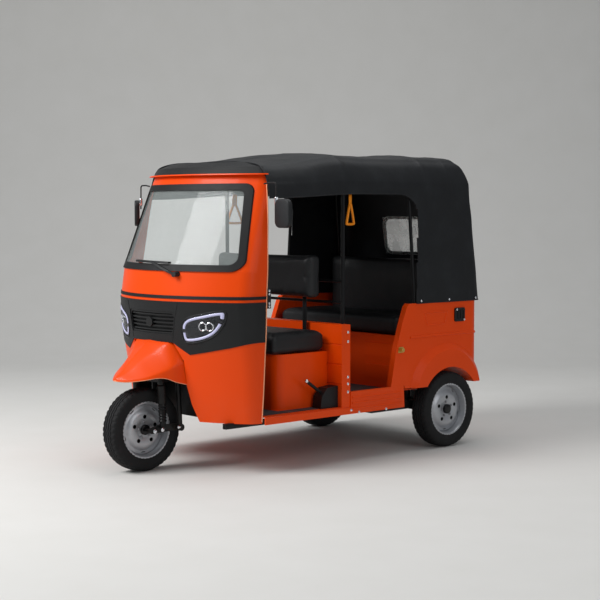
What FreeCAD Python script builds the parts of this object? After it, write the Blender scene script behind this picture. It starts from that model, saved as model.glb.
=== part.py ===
import FreeCAD, Part
import functools
import math
import os

# Auto rickshaw: a three-wheeled passenger taxi with one steered front wheel, a moulded
# front cab, a pressed steel rear body and a fabric canopy on a tube frame.
# While it is built, x runs forward from the rear axle, y runs to the left and z up
# from the ground. At the end every piece is shifted so that the origin is under the
# middle of the whole vehicle.

doc = FreeCAD.newDocument("AutoRickshaw")
sheet = doc.addObject("Spreadsheet::Sheet", "Sizes")

# name, size in millimetres or degrees
SIZES = [
    ("wheelbase", 1980), ("track", 1175), ("tyre_radius", 245), ("tyre_width", 125),
    ("tread_corner", 22), ("rim_flange_radius", 169), ("rim_bead_radius", 153), ("rim_width", 104),
    ("rim_wall", 4), ("disc_offset", 8), ("wheel_disc_radius", 128), ("wheel_hole_radius", 8),
    ("wheel_hole_circle", 62), ("wheel_holes", 5), ("hub_radius", 32), ("hub_half_length", 40),
    ("hub_cap_radius", 27), ("hub_cap_length", 26), ("drum_radius", 92), ("drum_depth", 46),
    ("axle_radius", 10), ("stub_radius", 16), ("bore_play", 0.05), ("seat_gap", 0.3),
    ("body_half_width", 625), ("panel_wall", 6), ("sill_bottom", 294), ("sill_top", 430),
    ("sill_rear", 400), ("driver_floor", 340), ("passenger_floor", 400), ("floor_wall", 5),
    ("mat_wall", 3), ("cab_nose_radius", 870), ("cab_back_reach", 1300), ("cab_bottom", 300),
    ("cab_top", 1745), ("belt_bottom", 1005), ("belt_strip_bottom", 1021), ("belt_strip_height", 18),
    ("strip_depth", 4), ("mask_depth", 4), ("cab_rear_bottom", 1555), ("cab_rear_belt", 1545),
    ("cab_rear_top", 1470), ("screen_bottom", 1180), ("screen_top", 1688),
    ("screen_bottom_half", 590), ("screen_top_half", 505), ("screen_corner", 60),
    ("seal_width", 38), ("seal_proud", 8), ("glass_wall", 5), ("visor_reach", 34), ("visor_wall", 7),
    ("rear_end", -310), ("rear_corner", 80), ("body_bottom", 410), ("tail_bottom", 378),
    ("body_top", 945), ("arch_radius", 277), ("flare_radius", 345), ("flare_crest", 305),
    ("flare_proud", 33), ("flare_shift", 15), ("flare_rise", 85), ("wheelhouse_depth", 195),
    ("quarter_split", 500), ("lid_half_width", 380), ("lid_bottom", 470), ("lid_top", 790),
    ("lid_gap", 5), ("lid_wall", 5), ("hinge_pin_radius", 3), ("hinge_barrel_radius", 7),
    ("hinge_half_spread", 250), ("partition_front", 942), ("partition_depth", 72),
    ("partition_top", 841), ("partition_half", 619), ("seat_base_front", 1345),
    ("seat_base_half", 490), ("seat_base_top", 675), ("cushion_wall", 125), ("cushion_front", 1400),
    ("backrest_bottom", 990), ("backrest_top", 1270), ("backrest_half", 420), ("backrest_wall", 72),
    ("bench_front", 400), ("bench_top", 740), ("bench_cushion_wall", 120),
    ("bench_cushion_front", 420), ("bench_back_top", 1230), ("bench_back_wall", 90),
    ("bench_back_rear", -145), ("pole_x", 875), ("pole_y", 557), ("rail_z", 1650),
    ("tube_radius", 12), ("hoop_radius", 10), ("canopy_top", 1895), ("canopy_half_low", 631),
    ("canopy_half_high", 592), ("canopy_wall", 6), ("canopy_front", 1474), ("hem_gap", 0.3),
    ("rail_y", 300), ("rail_section", 50), ("rail_bottom", 285), ("rear_cross", -170),
    ("engine_length", 360), ("engine_half", 170), ("engine_bottom", 190), ("engine_top", 530),
    ("engine_rear", -120), ("shaft_radius", 14), ("arm_y", 475), ("arm_wall", 36),
    ("arm_pivot_x", 360), ("arm_pivot_z", 305), ("rake", 20), ("axis_x", 1830), ("axis_z", 500),
    ("stem_radius", 16), ("head_tube_radius", 26), ("fork_half", 120), ("leg_radius", 15),
    ("link_pivot_x", 1788), ("link_pivot_z", 251), ("link_wall", 12), ("link_height", 36),
    ("crown_bottom", 530), ("crown_wall", 30), ("damper_foot_x", 1912), ("damper_foot_z", 272),
    ("damper_radius", 24), ("bar_z", 1062), ("bar_half", 330), ("bar_radius", 11),
    ("grip_radius", 17), ("mirror_x", 1502), ("mirror_y", 720), ("mirror_z", 1511),
    ("mirror_width", 160), ("mirror_height", 168), ("mirror_wall", 26), ("strap_x", 812),
]
for row, (alias, value) in enumerate(SIZES, start=1):
    sheet.set("A%d" % row, alias)
    sheet.set("B%d" % row, str(value))
    sheet.setAlias("B%d" % row, alias)
doc.recompute()


class Named:
    """Reads a size from the sheet by its name."""

    def __getattr__(self, alias):
        return float(sheet.get(alias))


size = Named()
V = FreeCAD.Vector
X_AXIS, Y_AXIS, Z_AXIS = V(1, 0, 0), V(0, 1, 0), V(0, 0, 1)
parts = []


def keep(item, label):
    """Names a finished sub-part."""
    item.Label = label
    parts.append(item)
    return item


def feature(label, shape):
    """A sub-part whose shape is worked out with the Part functions."""
    item = doc.addObject("Part::Feature", label)
    item.Shape = shape
    return keep(item, label)


def corner_arc(before, corner, after, radius):
    """The two tangent points and the middle of the arc that rounds a corner."""
    a = (before - corner).normalize()
    b = (after - corner).normalize()
    half = a.getAngle(b) / 2
    reach = radius / math.tan(half)
    middle = (a + b).normalize() * (radius / math.sin(half) - radius)
    return corner + a * reach, corner + middle, corner + b * reach


def outline(points, radius=0):
    """A closed wire through points, with every corner rounded to the radius."""
    if radius <= 0:
        return Part.makePolygon(points + [points[0]])
    count = len(points)
    arcs = [corner_arc(points[i - 1], points[i], points[(i + 1) % count], radius)
            for i in range(count)]
    edges = []
    for i, (start, middle, end) in enumerate(arcs):
        edges.append(Part.Arc(start, middle, end).toShape())
        following = arcs[(i + 1) % count][0]
        if end.distanceToPoint(following) > 1e-6:
            edges.append(Part.LineSegment(end, following).toShape())
    return Part.Wire(edges)


def prism_x(points, low, high, radius=0):
    """Front-view outline of (y, z) points, from x low to x high."""
    face = Part.Face(outline([V(low, y, z) for y, z in points], radius))
    return face.extrude(V(high - low, 0, 0))


def prism_y(points, low, high, radius=0):
    """Side-view outline of (x, z) points, from y low to y high."""
    face = Part.Face(outline([V(x, low, z) for x, z in points], radius))
    return face.extrude(V(0, high - low, 0))


def prism_z(points, low, high, radius=0):
    """Plan outline of (x, y) points, from z low to z high."""
    face = Part.Face(outline([V(x, y, low) for x, y in points], radius))
    return face.extrude(V(0, 0, high - low))


def block(x, y, z):
    """A box between pairs of coordinates."""
    return Part.makeBox(x[1] - x[0], y[1] - y[0], z[1] - z[0], V(x[0], y[0], z[0]))


def rod(start, end, radius):
    """A round bar between two points."""
    return Part.makeCylinder(radius, (end - start).Length, start, end - start)


def bent_tube(points, radius, bend):
    """A round bar along points, with each turn an arc of the bend radius."""
    pieces = []
    start = points[0]
    for i in range(1, len(points) - 1):
        corner = points[i]
        first, middle, last = corner_arc(points[i - 1], corner, points[i + 1], bend)
        pieces.append(rod(start, first, radius))
        normal = (corner - first).cross(last - corner).normalize()
        centre = first + normal.cross((corner - first).normalize()) * bend
        turn = math.degrees((corner - first).getAngle(last - corner))
        section = Part.Face(Part.Wire(Part.makeCircle(radius, first, corner - first)))
        pieces.append(section.revolve(centre, normal, turn))
        start = last
    pieces.append(rod(start, points[-1], radius))
    return pieces[0].fuse(pieces[1:])


def turned(profile, centre, axis):
    """Turns a closed outline of (radius, along) points about an axis through centre."""
    face = Part.Face(Part.makePolygon([V(r, 0, a) for r, a in profile + [profile[0]]]))
    solid = face.revolve(V(0, 0, 0), Z_AXIS, 360)
    solid.Placement = FreeCAD.Placement(centre, FreeCAD.Rotation(Z_AXIS, axis))
    return solid


def both_sides(shape):
    """A shape and its mirror image in the middle plane, as one compound."""
    return Part.Compound([shape, shape.mirror(V(0, 0, 0), Y_AXIS)])


def welded(shapes):
    """Fuses shapes into one solid."""
    return shapes[0].fuse(shapes[1:])


def joined(shapes):
    """Fuses shapes into one solid and drops the seams between its flush faces."""
    return welded(shapes).removeSplitter()


def cut_away(shape, tools):
    """Cuts tools out of a shape."""
    return shape.cut(tools)


# Cab sections from the bottom up: height, nose x, half width, corner radius
CAB_SECTIONS = [
    (size.cab_bottom, 1830, 600, 150),
    (760, 1910, 622, 150),
    (size.belt_bottom, 1930, size.body_half_width, 150),
    (size.screen_bottom, 1903, 618, 140),
    (size.cab_top, 1662, 555, 110),
]


def cab_ring(height, nose, half_width, corner, grow):
    """One plan section of the cab: a nose arc, two corner arcs and straight sides."""
    radius = size.cab_nose_radius + grow
    corner = corner + grow
    half = half_width + grow
    middle_x = nose - size.cab_nose_radius
    corner_y = half - corner
    corner_x = middle_x + math.sqrt((radius - corner) ** 2 - corner_y ** 2)
    angle = math.atan2(corner_y, corner_x - middle_x)
    meet = V(middle_x + radius * math.cos(angle), radius * math.sin(angle), height)
    mid = (angle + math.pi / 2) / 2
    bulge = V(corner_x + corner * math.cos(mid), corner_y + corner * math.sin(mid), height)
    side = V(corner_x, half, height)
    back = V(size.cab_back_reach, half, height)
    flip = lambda p: V(p.x, -p.y, p.z)
    return Part.Wire([
        Part.LineSegment(flip(back), flip(side)).toShape(),
        Part.Arc(flip(side), flip(bulge), flip(meet)).toShape(),
        Part.Arc(flip(meet), V(middle_x + radius, 0, height), meet).toShape(),
        Part.Arc(meet, bulge, side).toShape(),
        Part.LineSegment(side, back).toShape(),
        Part.LineSegment(back, flip(back)).toShape(),
    ])


@functools.lru_cache(maxsize=None)
def cab_solid(grow=0):
    """The cab's outer form, grown outwards or, with a negative value, inwards."""
    rings = [cab_ring(*section, grow) for section in CAB_SECTIONS]
    return Part.makeLoft(rings, True, True)


@functools.lru_cache(maxsize=None)
def cab_shell(outer, inner):
    """The wall between two offsets of the cab's form, ahead of the door opening."""
    wall = cab_solid(outer).cut(cab_solid(inner))
    far = size.wheelbase + size.tyre_radius
    ahead = [
        (far, 0), (size.cab_rear_bottom, 0), (size.cab_rear_bottom, size.cab_bottom),
        (size.cab_rear_belt, size.belt_bottom), (size.cab_rear_top, size.cab_top),
        (size.cab_rear_top, size.cab_top + size.panel_wall), (far, size.cab_top + size.panel_wall),
    ]
    return wall.common(prism_y(ahead, -size.body_half_width - 50, size.body_half_width + 50))


FRONT = (1000, 2300)
WALL = size.panel_wall
GAP = size.seat_gap
BELT = size.belt_bottom

# Lower edge of the black mask and the seam of the beak, half of each in front view: y, z
MASK_EDGE = [(0, 765), (192, 765), (300, 697), (400, 716), (530, 745), (640, 779)]
BEAK_SEAM = [(192, 765), (250, 660), (245, 515), (262, 400), (300, 290)]


def mirrored_outline(half):
    """Completes half an outline, given from the middle outwards, with its mirror image."""
    return half + [(-y, z) for y, z in reversed(half) if y > 0]


def under_mask():
    """Everything below the mask's lower edge."""
    return prism_x(MASK_EDGE + [(700, 200), (-700, 200)]
                   + [(-y, z) for y, z in reversed(MASK_EDGE) if y > 0], *FRONT)


def screen_outline(inset):
    """The rounded trapezium of the windscreen, shrunk by an inset."""
    low, high = size.screen_bottom + inset, size.screen_top - inset
    wide, narrow = size.screen_bottom_half - inset, size.screen_top_half - inset
    return [(wide, low), (narrow, high), (-narrow, high), (-wide, low)]


def make_leg_shield():
    """The painted lower cab skin, open in the middle for the front wheel."""
    wheel_way = mirrored_outline(BEAK_SEAM)
    shell = cab_shell(0, -WALL).common(under_mask())
    return feature("leg_shield", shell.cut(prism_x(wheel_way, *FRONT)))


# Beak sections: x, top z, top half width, shoulder z, shoulder half width, lip z, lip half width
BEAK_SECTIONS = [
    (1790, 764, 191, 660, 248, 515, 244),
    (1895, 762, 190, 655, 243, 527, 240),
    (2000, 728, 150, 640, 205, 570, 213),
    (2100, 655, 100, 600, 145, 556, 152),
    (2150, 603, 62, 573, 88, 541, 95),
    (2182, 568, 22, 557, 32, 545, 36),
]
BEAK_WALL = 5
BEAK_INSIDE_DROP = 60


def beak_ring(row, inset, drop):
    """One cross section of the beak."""
    x, top, top_half, shoulder, shoulder_half, lip, lip_half = row
    half = [(top_half - inset, top - inset), (shoulder_half - inset, shoulder - inset / 2),
            (lip_half - inset, lip - drop)]
    ring = half + [(-y, z) for y, z in reversed(half)]
    return Part.makePolygon([V(x, y, z) for y, z in ring + [ring[0]]])


def make_front_beak():
    """The creased mudguard over the front wheel, fixed to the cab and open below."""
    outer = Part.makeLoft([beak_ring(r, GAP, 0) for r in BEAK_SECTIONS], True, True)
    inside = [beak_ring(r, BEAK_WALL, BEAK_INSIDE_DROP) for r in BEAK_SECTIONS[:-1]]
    inner = Part.makeLoft(inside, True, True)
    shell = outer.cut(inner).cut(cab_solid(-WALL))
    return feature("front_beak", max(shell.Solids, key=lambda s: s.Volume))


# Headlamp outline in front view, left side: y, z
LAMP_EDGE = [(263, 850), (300, 915), (497, 961), (527, 950), (514, 872), (444, 818), (309, 779),
             (272, 800)]
LAMP_CORNER = 12
GRILLE_HALF = 225
GRILLE_BOTTOM = 812
GRILLE_TOP = 945
GRILLE_CORNER = 18
GRILLE_BARS = 5
GRILLE_BAR_HEIGHT = 9
GRILLE_DEPTH = 26


def grown_outline(points, grow):
    """Pushes an outline's points away from its middle."""
    mid_y = sum(p[0] for p in points) / len(points)
    mid_z = sum(p[1] for p in points) / len(points)
    grown = []
    for y, z in points:
        reach = math.hypot(y - mid_y, z - mid_z)
        grown.append((y + (y - mid_y) * grow / reach, z + (z - mid_z) * grow / reach))
    return grown


def grille_window(inset):
    """The grille's opening in the mask."""
    half, low, high = GRILLE_HALF - inset, GRILLE_BOTTOM + inset, GRILLE_TOP - inset
    narrow = half - 18
    return [(narrow, low), (half, high), (-half, high), (-narrow, low)]


def make_front_mask():
    """The black moulded band that holds the grille and the headlamps."""
    band = cab_shell(size.mask_depth, -WALL).cut(under_mask())
    band = band.common(block(FRONT, (-700, 700), (0, BELT - GAP)))
    lamps = [prism_x(LAMP_EDGE, *FRONT, LAMP_CORNER)]
    lamps.append(lamps[0].mirror(V(0, 0, 0), Y_AXIS))
    band = band.cut(lamps).cut(prism_x(grille_window(0), *FRONT, GRILLE_CORNER))
    lift = band.common(block(FRONT, (-700, 700), (0, BELT)))
    return feature("front_mask", lift)


def make_headlamps():
    """Two lamp units whose lenses follow the mask."""
    near = grown_outline(LAMP_EDGE, -GAP)
    lens = cab_solid(size.mask_depth + 2).cut(cab_solid(-30))
    lamp = lens.common(prism_x(near, *FRONT, LAMP_CORNER - GAP))
    return feature("headlamps", both_sides(lamp))


def make_front_grille():
    """The recessed grille: a rounded frame, slats and a plain boss in the middle."""
    frame_out = prism_x(grille_window(GAP), *FRONT, GRILLE_CORNER)
    frame_in = prism_x(grille_window(12), *FRONT, GRILLE_CORNER)
    rim = cab_solid(0).cut(cab_solid(-GRILLE_DEPTH)).common(frame_out.cut(frame_in))
    back = cab_solid(-GRILLE_DEPTH + 6).cut(cab_solid(-GRILLE_DEPTH)).common(frame_out)
    pieces = [rim, back]
    pitch = (GRILLE_TOP - GRILLE_BOTTOM) / (GRILLE_BARS + 1)
    slats = cab_solid(-6).cut(cab_solid(-GRILLE_DEPTH + 3))
    for i in range(1, GRILLE_BARS + 1):
        low = GRILLE_BOTTOM + i * pitch - GRILLE_BAR_HEIGHT / 2
        bar = slats.common(block(FRONT, (-GRILLE_HALF, GRILLE_HALF), (low, low + GRILLE_BAR_HEIGHT)))
        pieces.append(bar.common(frame_out))
    middle = (GRILLE_BOTTOM + GRILLE_TOP) / 2
    boss = Part.makeCylinder(30, 200, V(1800, 0, middle), X_AXIS)
    pieces.append(boss.common(cab_solid(2).cut(cab_solid(-GRILLE_DEPTH + 3))))
    return feature("front_grille", joined(pieces))


def make_cab_upper_panel():
    """The painted upper cab: windscreen surround, pillars and visor."""
    shell = cab_shell(0, -WALL).common(block(FRONT, (-700, 700), (BELT, size.cab_top)))
    shell = shell.cut(prism_x(screen_outline(0), *FRONT, size.screen_corner))
    peak = cab_solid(size.visor_reach).cut(cab_solid(-WALL))
    low = size.cab_top - size.visor_wall
    peak = peak.common(block((size.cab_rear_top + 12, FRONT[1]), (-700, 700), (low, size.cab_top)))
    return feature("cab_upper_panel", joined([shell, peak]))


def make_belt_strip():
    """The black rubbing strip along the cab's belt line."""
    low = size.belt_strip_bottom
    band = cab_shell(GAP + size.strip_depth, GAP)
    strip = band.common(block(FRONT, (-700, 700), (low, low + size.belt_strip_height)))
    return feature("belt_strip", strip)


def make_windscreen():
    """The glass and the thick rubber seal that holds it."""
    ring = prism_x(screen_outline(GAP), *FRONT, size.screen_corner)
    hole = prism_x(screen_outline(size.seal_width), *FRONT, size.screen_corner - 20)
    pane = prism_x(screen_outline(size.seal_width + GAP), *FRONT, size.screen_corner - 20)
    rubber = cab_solid(size.seal_proud).cut(cab_solid(-WALL - size.seal_proud))
    feature("windscreen_seal", rubber.common(ring.cut(hole)))
    glass = cab_solid(0).cut(cab_solid(-size.glass_wall))
    feature("windscreen_glass", glass.common(pane))


WIPER_BLADE = ((-180, 1232), (150, 1227))
WIPER_PIVOT = (225, 1163)
WIPER_ARM_FOOT = (10, 1231)


def strip_between(start, end, width):
    """A narrow four-sided outline between two front-view points."""
    along = V(end[0] - start[0], end[1] - start[1], 0).normalize()
    side = V(-along.y, along.x, 0) * (width / 2)
    return [(start[0] + side.x, start[1] + side.y), (end[0] + side.x, end[1] + side.y),
            (end[0] - side.x, end[1] - side.y), (start[0] - side.x, start[1] - side.y)]


def make_wiper():
    """A single wiper: blade, arm and pivot cap, following the screen."""
    proud = size.seal_proud
    blade = cab_solid(proud + 14).cut(cab_solid(GAP))
    blade = blade.common(prism_x(strip_between(*WIPER_BLADE, 12), *FRONT))
    arm = cab_solid(proud + 22).cut(cab_solid(proud + 10))
    arm = arm.common(prism_x(strip_between(WIPER_ARM_FOOT, WIPER_PIVOT, 12), *FRONT))
    cap = Part.makeCylinder(15, 300, V(1750, *WIPER_PIVOT), X_AXIS)
    cap = cap.common(cab_solid(proud + 24).cut(cab_solid(GAP)))
    return feature("wiper", joined([blade, arm, cap]))


# Roof cap sections: height above the cab, nose x, half width, corner radius
CAP_SECTIONS = [(GAP, 1672, 556, 110), (42, 1640, 538, 110), (72, 1560, 480, 110)]


def make_roof_cap():
    """The black moulded cap over the visor, where the canopy begins."""
    rings = [cab_ring(size.cab_top + z, nose, half, corner, 0)
             for z, nose, half, corner in CAP_SECTIONS]
    inner = [cab_ring(size.cab_top + z - WALL - GAP, nose - WALL, half - WALL, corner, 0)
             for z, nose, half, corner in CAP_SECTIONS]
    shell = Part.makeLoft(rings, True, True).cut(Part.makeLoft(inner, True, True))
    room = block((size.canopy_front + GAP, FRONT[1]), (-700, 700),
                 (size.cab_top + GAP, size.cab_top + 200))
    return feature("roof_cap", shell.common(room))


def make_wheel_well():
    """The inner mudguard behind the front wheel, open forwards and below."""
    low, high = size.cab_bottom, 655
    profile = [(1660, low), (1622, 600), (1640, high), (1960, high + 10), (1960, low)]
    inner = [(1660 + WALL, low - 1), (1622 + WALL, 600), (1640 + WALL, high - WALL),
             (1970, high + 10 - WALL), (1970, low - 1)]
    half = 299
    tub = prism_y(profile, -half, half).cut(prism_y(inner, -half + WALL, half - WALL))
    tub = tub.common(cab_solid(-WALL - GAP))
    stem_way = rod(on_axis(900), on_axis(520), size.head_tube_radius + GAP)
    return feature("wheel_well", max(tub.cut(stem_way).Solids, key=lambda s: s.Volume))


def on_axis(height):
    """The point of the steering axis at a height."""
    slope = math.tan(math.radians(size.rake))
    return V(size.axis_x - (height - size.axis_z) * slope, 0, height)


def make_floor():
    """The stepped floor: driver's footwell, riser and passenger floor."""
    half = size.body_half_width - WALL - GAP
    wall = size.floor_wall
    well = block((1600, 2300), (-300 - GAP, 300 + GAP), (0, 700))
    driver = block((size.partition_front - size.partition_depth, 1800), (-half, half),
                   (size.driver_floor - wall, size.driver_floor))
    ahead = cab_solid(-WALL - GAP).fuse(block((0, 1550), (-700, 700), (0, 800)))
    driver = driver.common(ahead).cut(well)
    back = size.partition_front - size.partition_depth
    passenger = block((size.bench_front - 140, back), (-half + 20, half - 20),
                      (size.passenger_floor - wall, size.passenger_floor))
    riser = block((back - wall, back), (-half + 20, half - 20),
                  (size.driver_floor - wall, size.passenger_floor))
    return feature("floor_pan", joined([driver, passenger, riser]).cut(brace_way()))


def brace_way():
    """Room for the steering head's brace where it comes up through the floor."""
    return block((BRACE_REAR - 3, 1700), (-BRACE_HALF - 2, BRACE_HALF + 2), (300, 500))


def make_floor_mats():
    """Rubber mats in both footwells."""
    wall, low = size.mat_wall, size.driver_floor + GAP
    mat = block((size.partition_front + 5, 1590), (-570, 570), (low, low + wall))
    seat = block((0, size.seat_base_front + 5), (-size.seat_base_half - 5, size.seat_base_half + 5),
                 (0, 900))
    lever = block((0, LEVER_BOX_FRONT + 5), (LEVER_Y - 45, LEVER_Y + 45), (0, 900))
    low = size.passenger_floor + GAP
    back = size.partition_front - size.partition_depth
    rear = block((size.bench_front + 15, back - 15), (-560, 560), (low, low + wall))
    return feature("floor_mats", Part.Compound([mat.cut([seat, lever, brace_way()]), rear]))


SILL_RIBS = (326, 360, 394)
SILL_RIB_RADIUS = 6


def make_side_sills():
    """Ribbed sill panels below both door openings."""
    outer, low, top = size.body_half_width, size.sill_bottom, size.sill_top
    step = size.partition_front - size.partition_depth
    front = size.cab_rear_bottom - GAP
    profile = [(size.sill_rear, low), (front, low), (front, size.driver_floor - size.floor_wall),
               (step, size.driver_floor - size.floor_wall), (step, top), (size.sill_rear + 8, top)]
    skin = prism_y(profile, outer - WALL, outer)
    ledge = block((size.sill_rear + 8, step), (outer - 26, outer - WALL), (top - WALL, top))
    web = block((size.sill_rear + 8, step), (outer - 26, outer - 26 + WALL / 2),
                (size.passenger_floor, top))
    ribs = [rod(V(size.sill_rear + 22, outer, z), V(step - 12, outer, z), SILL_RIB_RADIUS)
            for z in SILL_RIBS]
    return feature("side_sills", both_sides(joined([skin, ledge, web] + ribs)))


PARTITION_GROOVES = (480, 600, 720)


def make_partition():
    """The wall behind the driver, as thick as its pressed section."""
    front, back = size.partition_front, size.partition_front - size.partition_depth
    half = size.partition_half
    wall = block((back, front), (-half, half), (size.driver_floor + GAP, size.partition_top))
    grooves = [rod(V(front, -half - 1, z), V(front, half + 1, z), 5) for z in PARTITION_GROOVES]
    return feature("partition", cut_away(wall, grooves))


def make_driver_seat():
    """The driver's seat box, cushion and backrest."""
    rear, front, half = size.partition_front + GAP, size.seat_base_front, size.seat_base_half
    plan = [(rear, -half), (front, -half), (front, half), (rear, half)]
    base = prism_z(plan, size.driver_floor + GAP, size.seat_base_top)
    posts = [e for e in base.Edges if abs(e.Vertexes[0].X - front) < 1
             and abs(e.Vertexes[-1].X - front) < 1 and abs(e.Vertexes[0].Z - e.Vertexes[-1].Z) > 50]
    feature("driver_seat_base", base.makeFillet(70, posts))
    low = size.seat_base_top + GAP
    cushion = block((rear + 8, size.cushion_front), (-half - 10, half + 10),
                    (low, low + size.cushion_wall))
    feature("driver_seat_cushion", cushion.makeFillet(28, cushion.Edges))
    face = size.partition_front + 115
    back = block((face - size.backrest_wall, face), (-size.backrest_half, size.backrest_half),
                 (size.backrest_bottom, size.backrest_top))
    feature("driver_backrest", back.makeFillet(24, back.Edges))


def make_passenger_seat():
    """The bench: front panel and deck, cushion and tall backrest."""
    half = size.body_half_width - WALL - GAP
    front, top = size.bench_front, size.bench_top
    riser = block((front - 8, front), (-half + 22, half - 22), (size.passenger_floor + GAP, top))
    deck = block((size.rear_end + WALL + GAP, front), (-half, half), (top - 8, top))
    inside = rear_body(-WALL - GAP)
    ribs = [block((front - 1, front + 6), (y - 130, y + 130), (z - 45, z + 45))
            for y in (-400, 0, 400) for z in (500, 640)]
    deck = deck.common(inside)
    feature("passenger_seat_base", joined([riser, deck] + ribs))
    low = top + GAP
    rear = size.bench_back_rear
    wide = half - 42
    cushion = block((rear + size.bench_back_wall + 2, size.bench_cushion_front), (-wide, wide),
                    (low, low + size.bench_cushion_wall))
    feature("passenger_seat_cushion", cushion.makeFillet(28, cushion.Edges))
    back = block((rear, rear + size.bench_back_wall), (-wide + 5, wide - 5),
                 (low, size.bench_back_top))
    feature("passenger_backrest", back.makeFillet(24, back.Edges))


def rear_body(grow):
    """The rear body's outer form in plan, from its lowest edge to its top."""
    low, half = size.rear_end - grow, size.body_half_width + grow
    front = size.partition_front - size.partition_depth - 60
    corner = size.rear_corner + grow
    far = front + 2 * corner
    solid = prism_z([(low, -half), (far, -half), (far, half), (low, half)],
                    size.tail_bottom, size.body_top, corner)
    return solid.common(block((-900, front), (-900, 900), (0, 2000)))


# Side-view outline of the rear quarter, from the tail round to the door edge: x, z
QUARTER_EDGE = [
    (-400, size.tail_bottom), (-262, 404), (-240, size.body_bottom), (400, size.body_bottom),
    (400, size.sill_top), (522, size.sill_top), (478, 650), (425, 816), (382, 925), (362, 945),
    (-400, 945),
]
DOOR_FLANGE = 40


def make_rear_quarters():
    """Rear side panels with the wheel arch, its flare and the wheelhouse."""
    outer, inner = rear_body(0), rear_body(-WALL)
    shell = outer.cut(inner)
    side = (size.quarter_split, 700)
    shell = shell.common(prism_y(QUARTER_EDGE, *side))
    centre = V(0, 0, size.tyre_radius)
    crest = V(size.flare_shift, 0, size.tyre_radius + size.flare_rise)
    high = size.body_half_width
    inset = size.rear_corner

    def drum(radius, low, top, middle=centre):
        return Part.makeCylinder(radius, top - low, middle + V(0, low, 0), Y_AXIS)

    def bell(radius, top_radius, low, mid, top):
        lower = drum(radius, low, mid, crest)
        return lower.fuse(Part.makeCone(radius, top_radius, top - mid, crest + V(0, mid, 0), Y_AXIS))

    flare = bell(size.flare_radius, size.flare_crest, high - inset, high,
                 high + size.flare_proud)
    hollow = bell(size.flare_radius - WALL, size.flare_crest - WALL, high - inset - 1, high - WALL,
                  high + size.flare_proud - WALL)
    trim = block((-296, 500), (0, 800), (size.body_bottom, 900))
    flare_wall = flare.cut(hollow).common(trim).cut(inner.common(block(
        (-900, 900), (0, high - WALL), (0, 2000))))
    shell = shell.cut(drum(size.flare_radius - WALL, high - inset, high + 1, crest))
    deep = size.wheelhouse_depth
    lip = drum(size.arch_radius + WALL, high - deep, high + size.flare_proud - WALL / 2)
    house = lip.cut(drum(size.arch_radius, high - deep + WALL, high + 100))
    house = house.common(block((-262, 400), (0, 800), (size.body_bottom, 900)))
    arch = drum(size.arch_radius, high - deep + WALL, high + 100)
    flange = prism_y(QUARTER_EDGE, high - DOOR_FLANGE, high - WALL).cut(
        prism_y([(x - WALL, z - (0 if z > 500 else 60)) for x, z in QUARTER_EDGE],
                high - DOOR_FLANGE - 1, high))
    flange = flange.common(block((300, 600), (0, 800), (size.sill_top, size.body_top)))
    left = joined([shell, flare_wall, flange]).cut(arch)
    left = joined([left, house])
    main = max(left.Solids, key=lambda s: s.Volume)
    feature("rear_quarter_left", main)
    feature("rear_quarter_right", main.mirror(V(0, 0, 0), Y_AXIS))


def make_rear_panel():
    """The back panel between the quarters, with the engine lid's opening and hinge ears."""
    shell = rear_body(0).cut(rear_body(-WALL))
    split = size.quarter_split - GAP
    panel = shell.common(block((-900, 0), (-split, split), (size.tail_bottom, size.body_top)))
    gap = size.lid_gap
    hole = block((-900, 0), (-size.lid_half_width - gap, size.lid_half_width + gap),
                 (size.lid_bottom - gap, size.lid_top + gap))
    pieces = [panel.cut(hole)]
    for side in (-1, 1):
        middle = side * size.hinge_half_spread
        for shift in (-24, 24):
            y = middle + shift
            ear = block((HINGE_X - 6, size.rear_end + 1), (y - 4, y + 4), (HINGE_Z - 6, HINGE_Z + 14))
            pieces.append(ear)
        pieces.append(rod(V(HINGE_X, middle - 26, HINGE_Z), V(HINGE_X, middle + 26, HINGE_Z),
                          size.hinge_pin_radius))
    return feature("rear_panel", joined(pieces))


HINGE_X = size.rear_end - 9
HINGE_Z = size.lid_top + size.lid_gap + 4


def make_engine_lid():
    """The lift-up lid over the engine, hung on two barrels, with a pressed frame."""
    half, low, high = size.lid_half_width, size.lid_bottom, size.lid_top
    back = size.rear_end
    plate = prism_x([(-half, low), (half, low), (half, high), (-half, high)],
                    back, back + size.lid_wall, 25)
    rim = prism_x([(-half + 40, low + 35), (half - 40, low + 35), (half - 40, high - 45),
                   (-half + 40, high - 45)], back - 6, back + 1, 20)
    pieces = [plate, rim]
    for i in range(5):
        z = low + 80 + i * 38
        pieces.append(prism_x([(-240, z), (240, z), (240, z + 14), (-240, z + 14)],
                              back - 12, back - 5))
    for side in (-1, 1):
        y = side * size.hinge_half_spread
        start, end = V(HINGE_X, y - 18, HINGE_Z), V(HINGE_X, y + 18, HINGE_Z)
        leaf = block((back - 9, back - 5), (y - 18, y + 18), (high - 60, HINGE_Z))
        foot = block((back - 7, back + 1), (y - 18, y + 18), (high - 60, high - 8))
        barrel = rod(start, end, size.hinge_barrel_radius).fuse([leaf, foot])
        bore = rod(start - V(0, 5, 0), end + V(0, 5, 0), size.hinge_pin_radius + size.bore_play)
        pieces.append(barrel.cut(bore))
    pieces.append(Part.makeCylinder(13, 20, V(back - 20, 0, low + 52), X_AXIS))
    return feature("engine_lid", joined(pieces))


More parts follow.
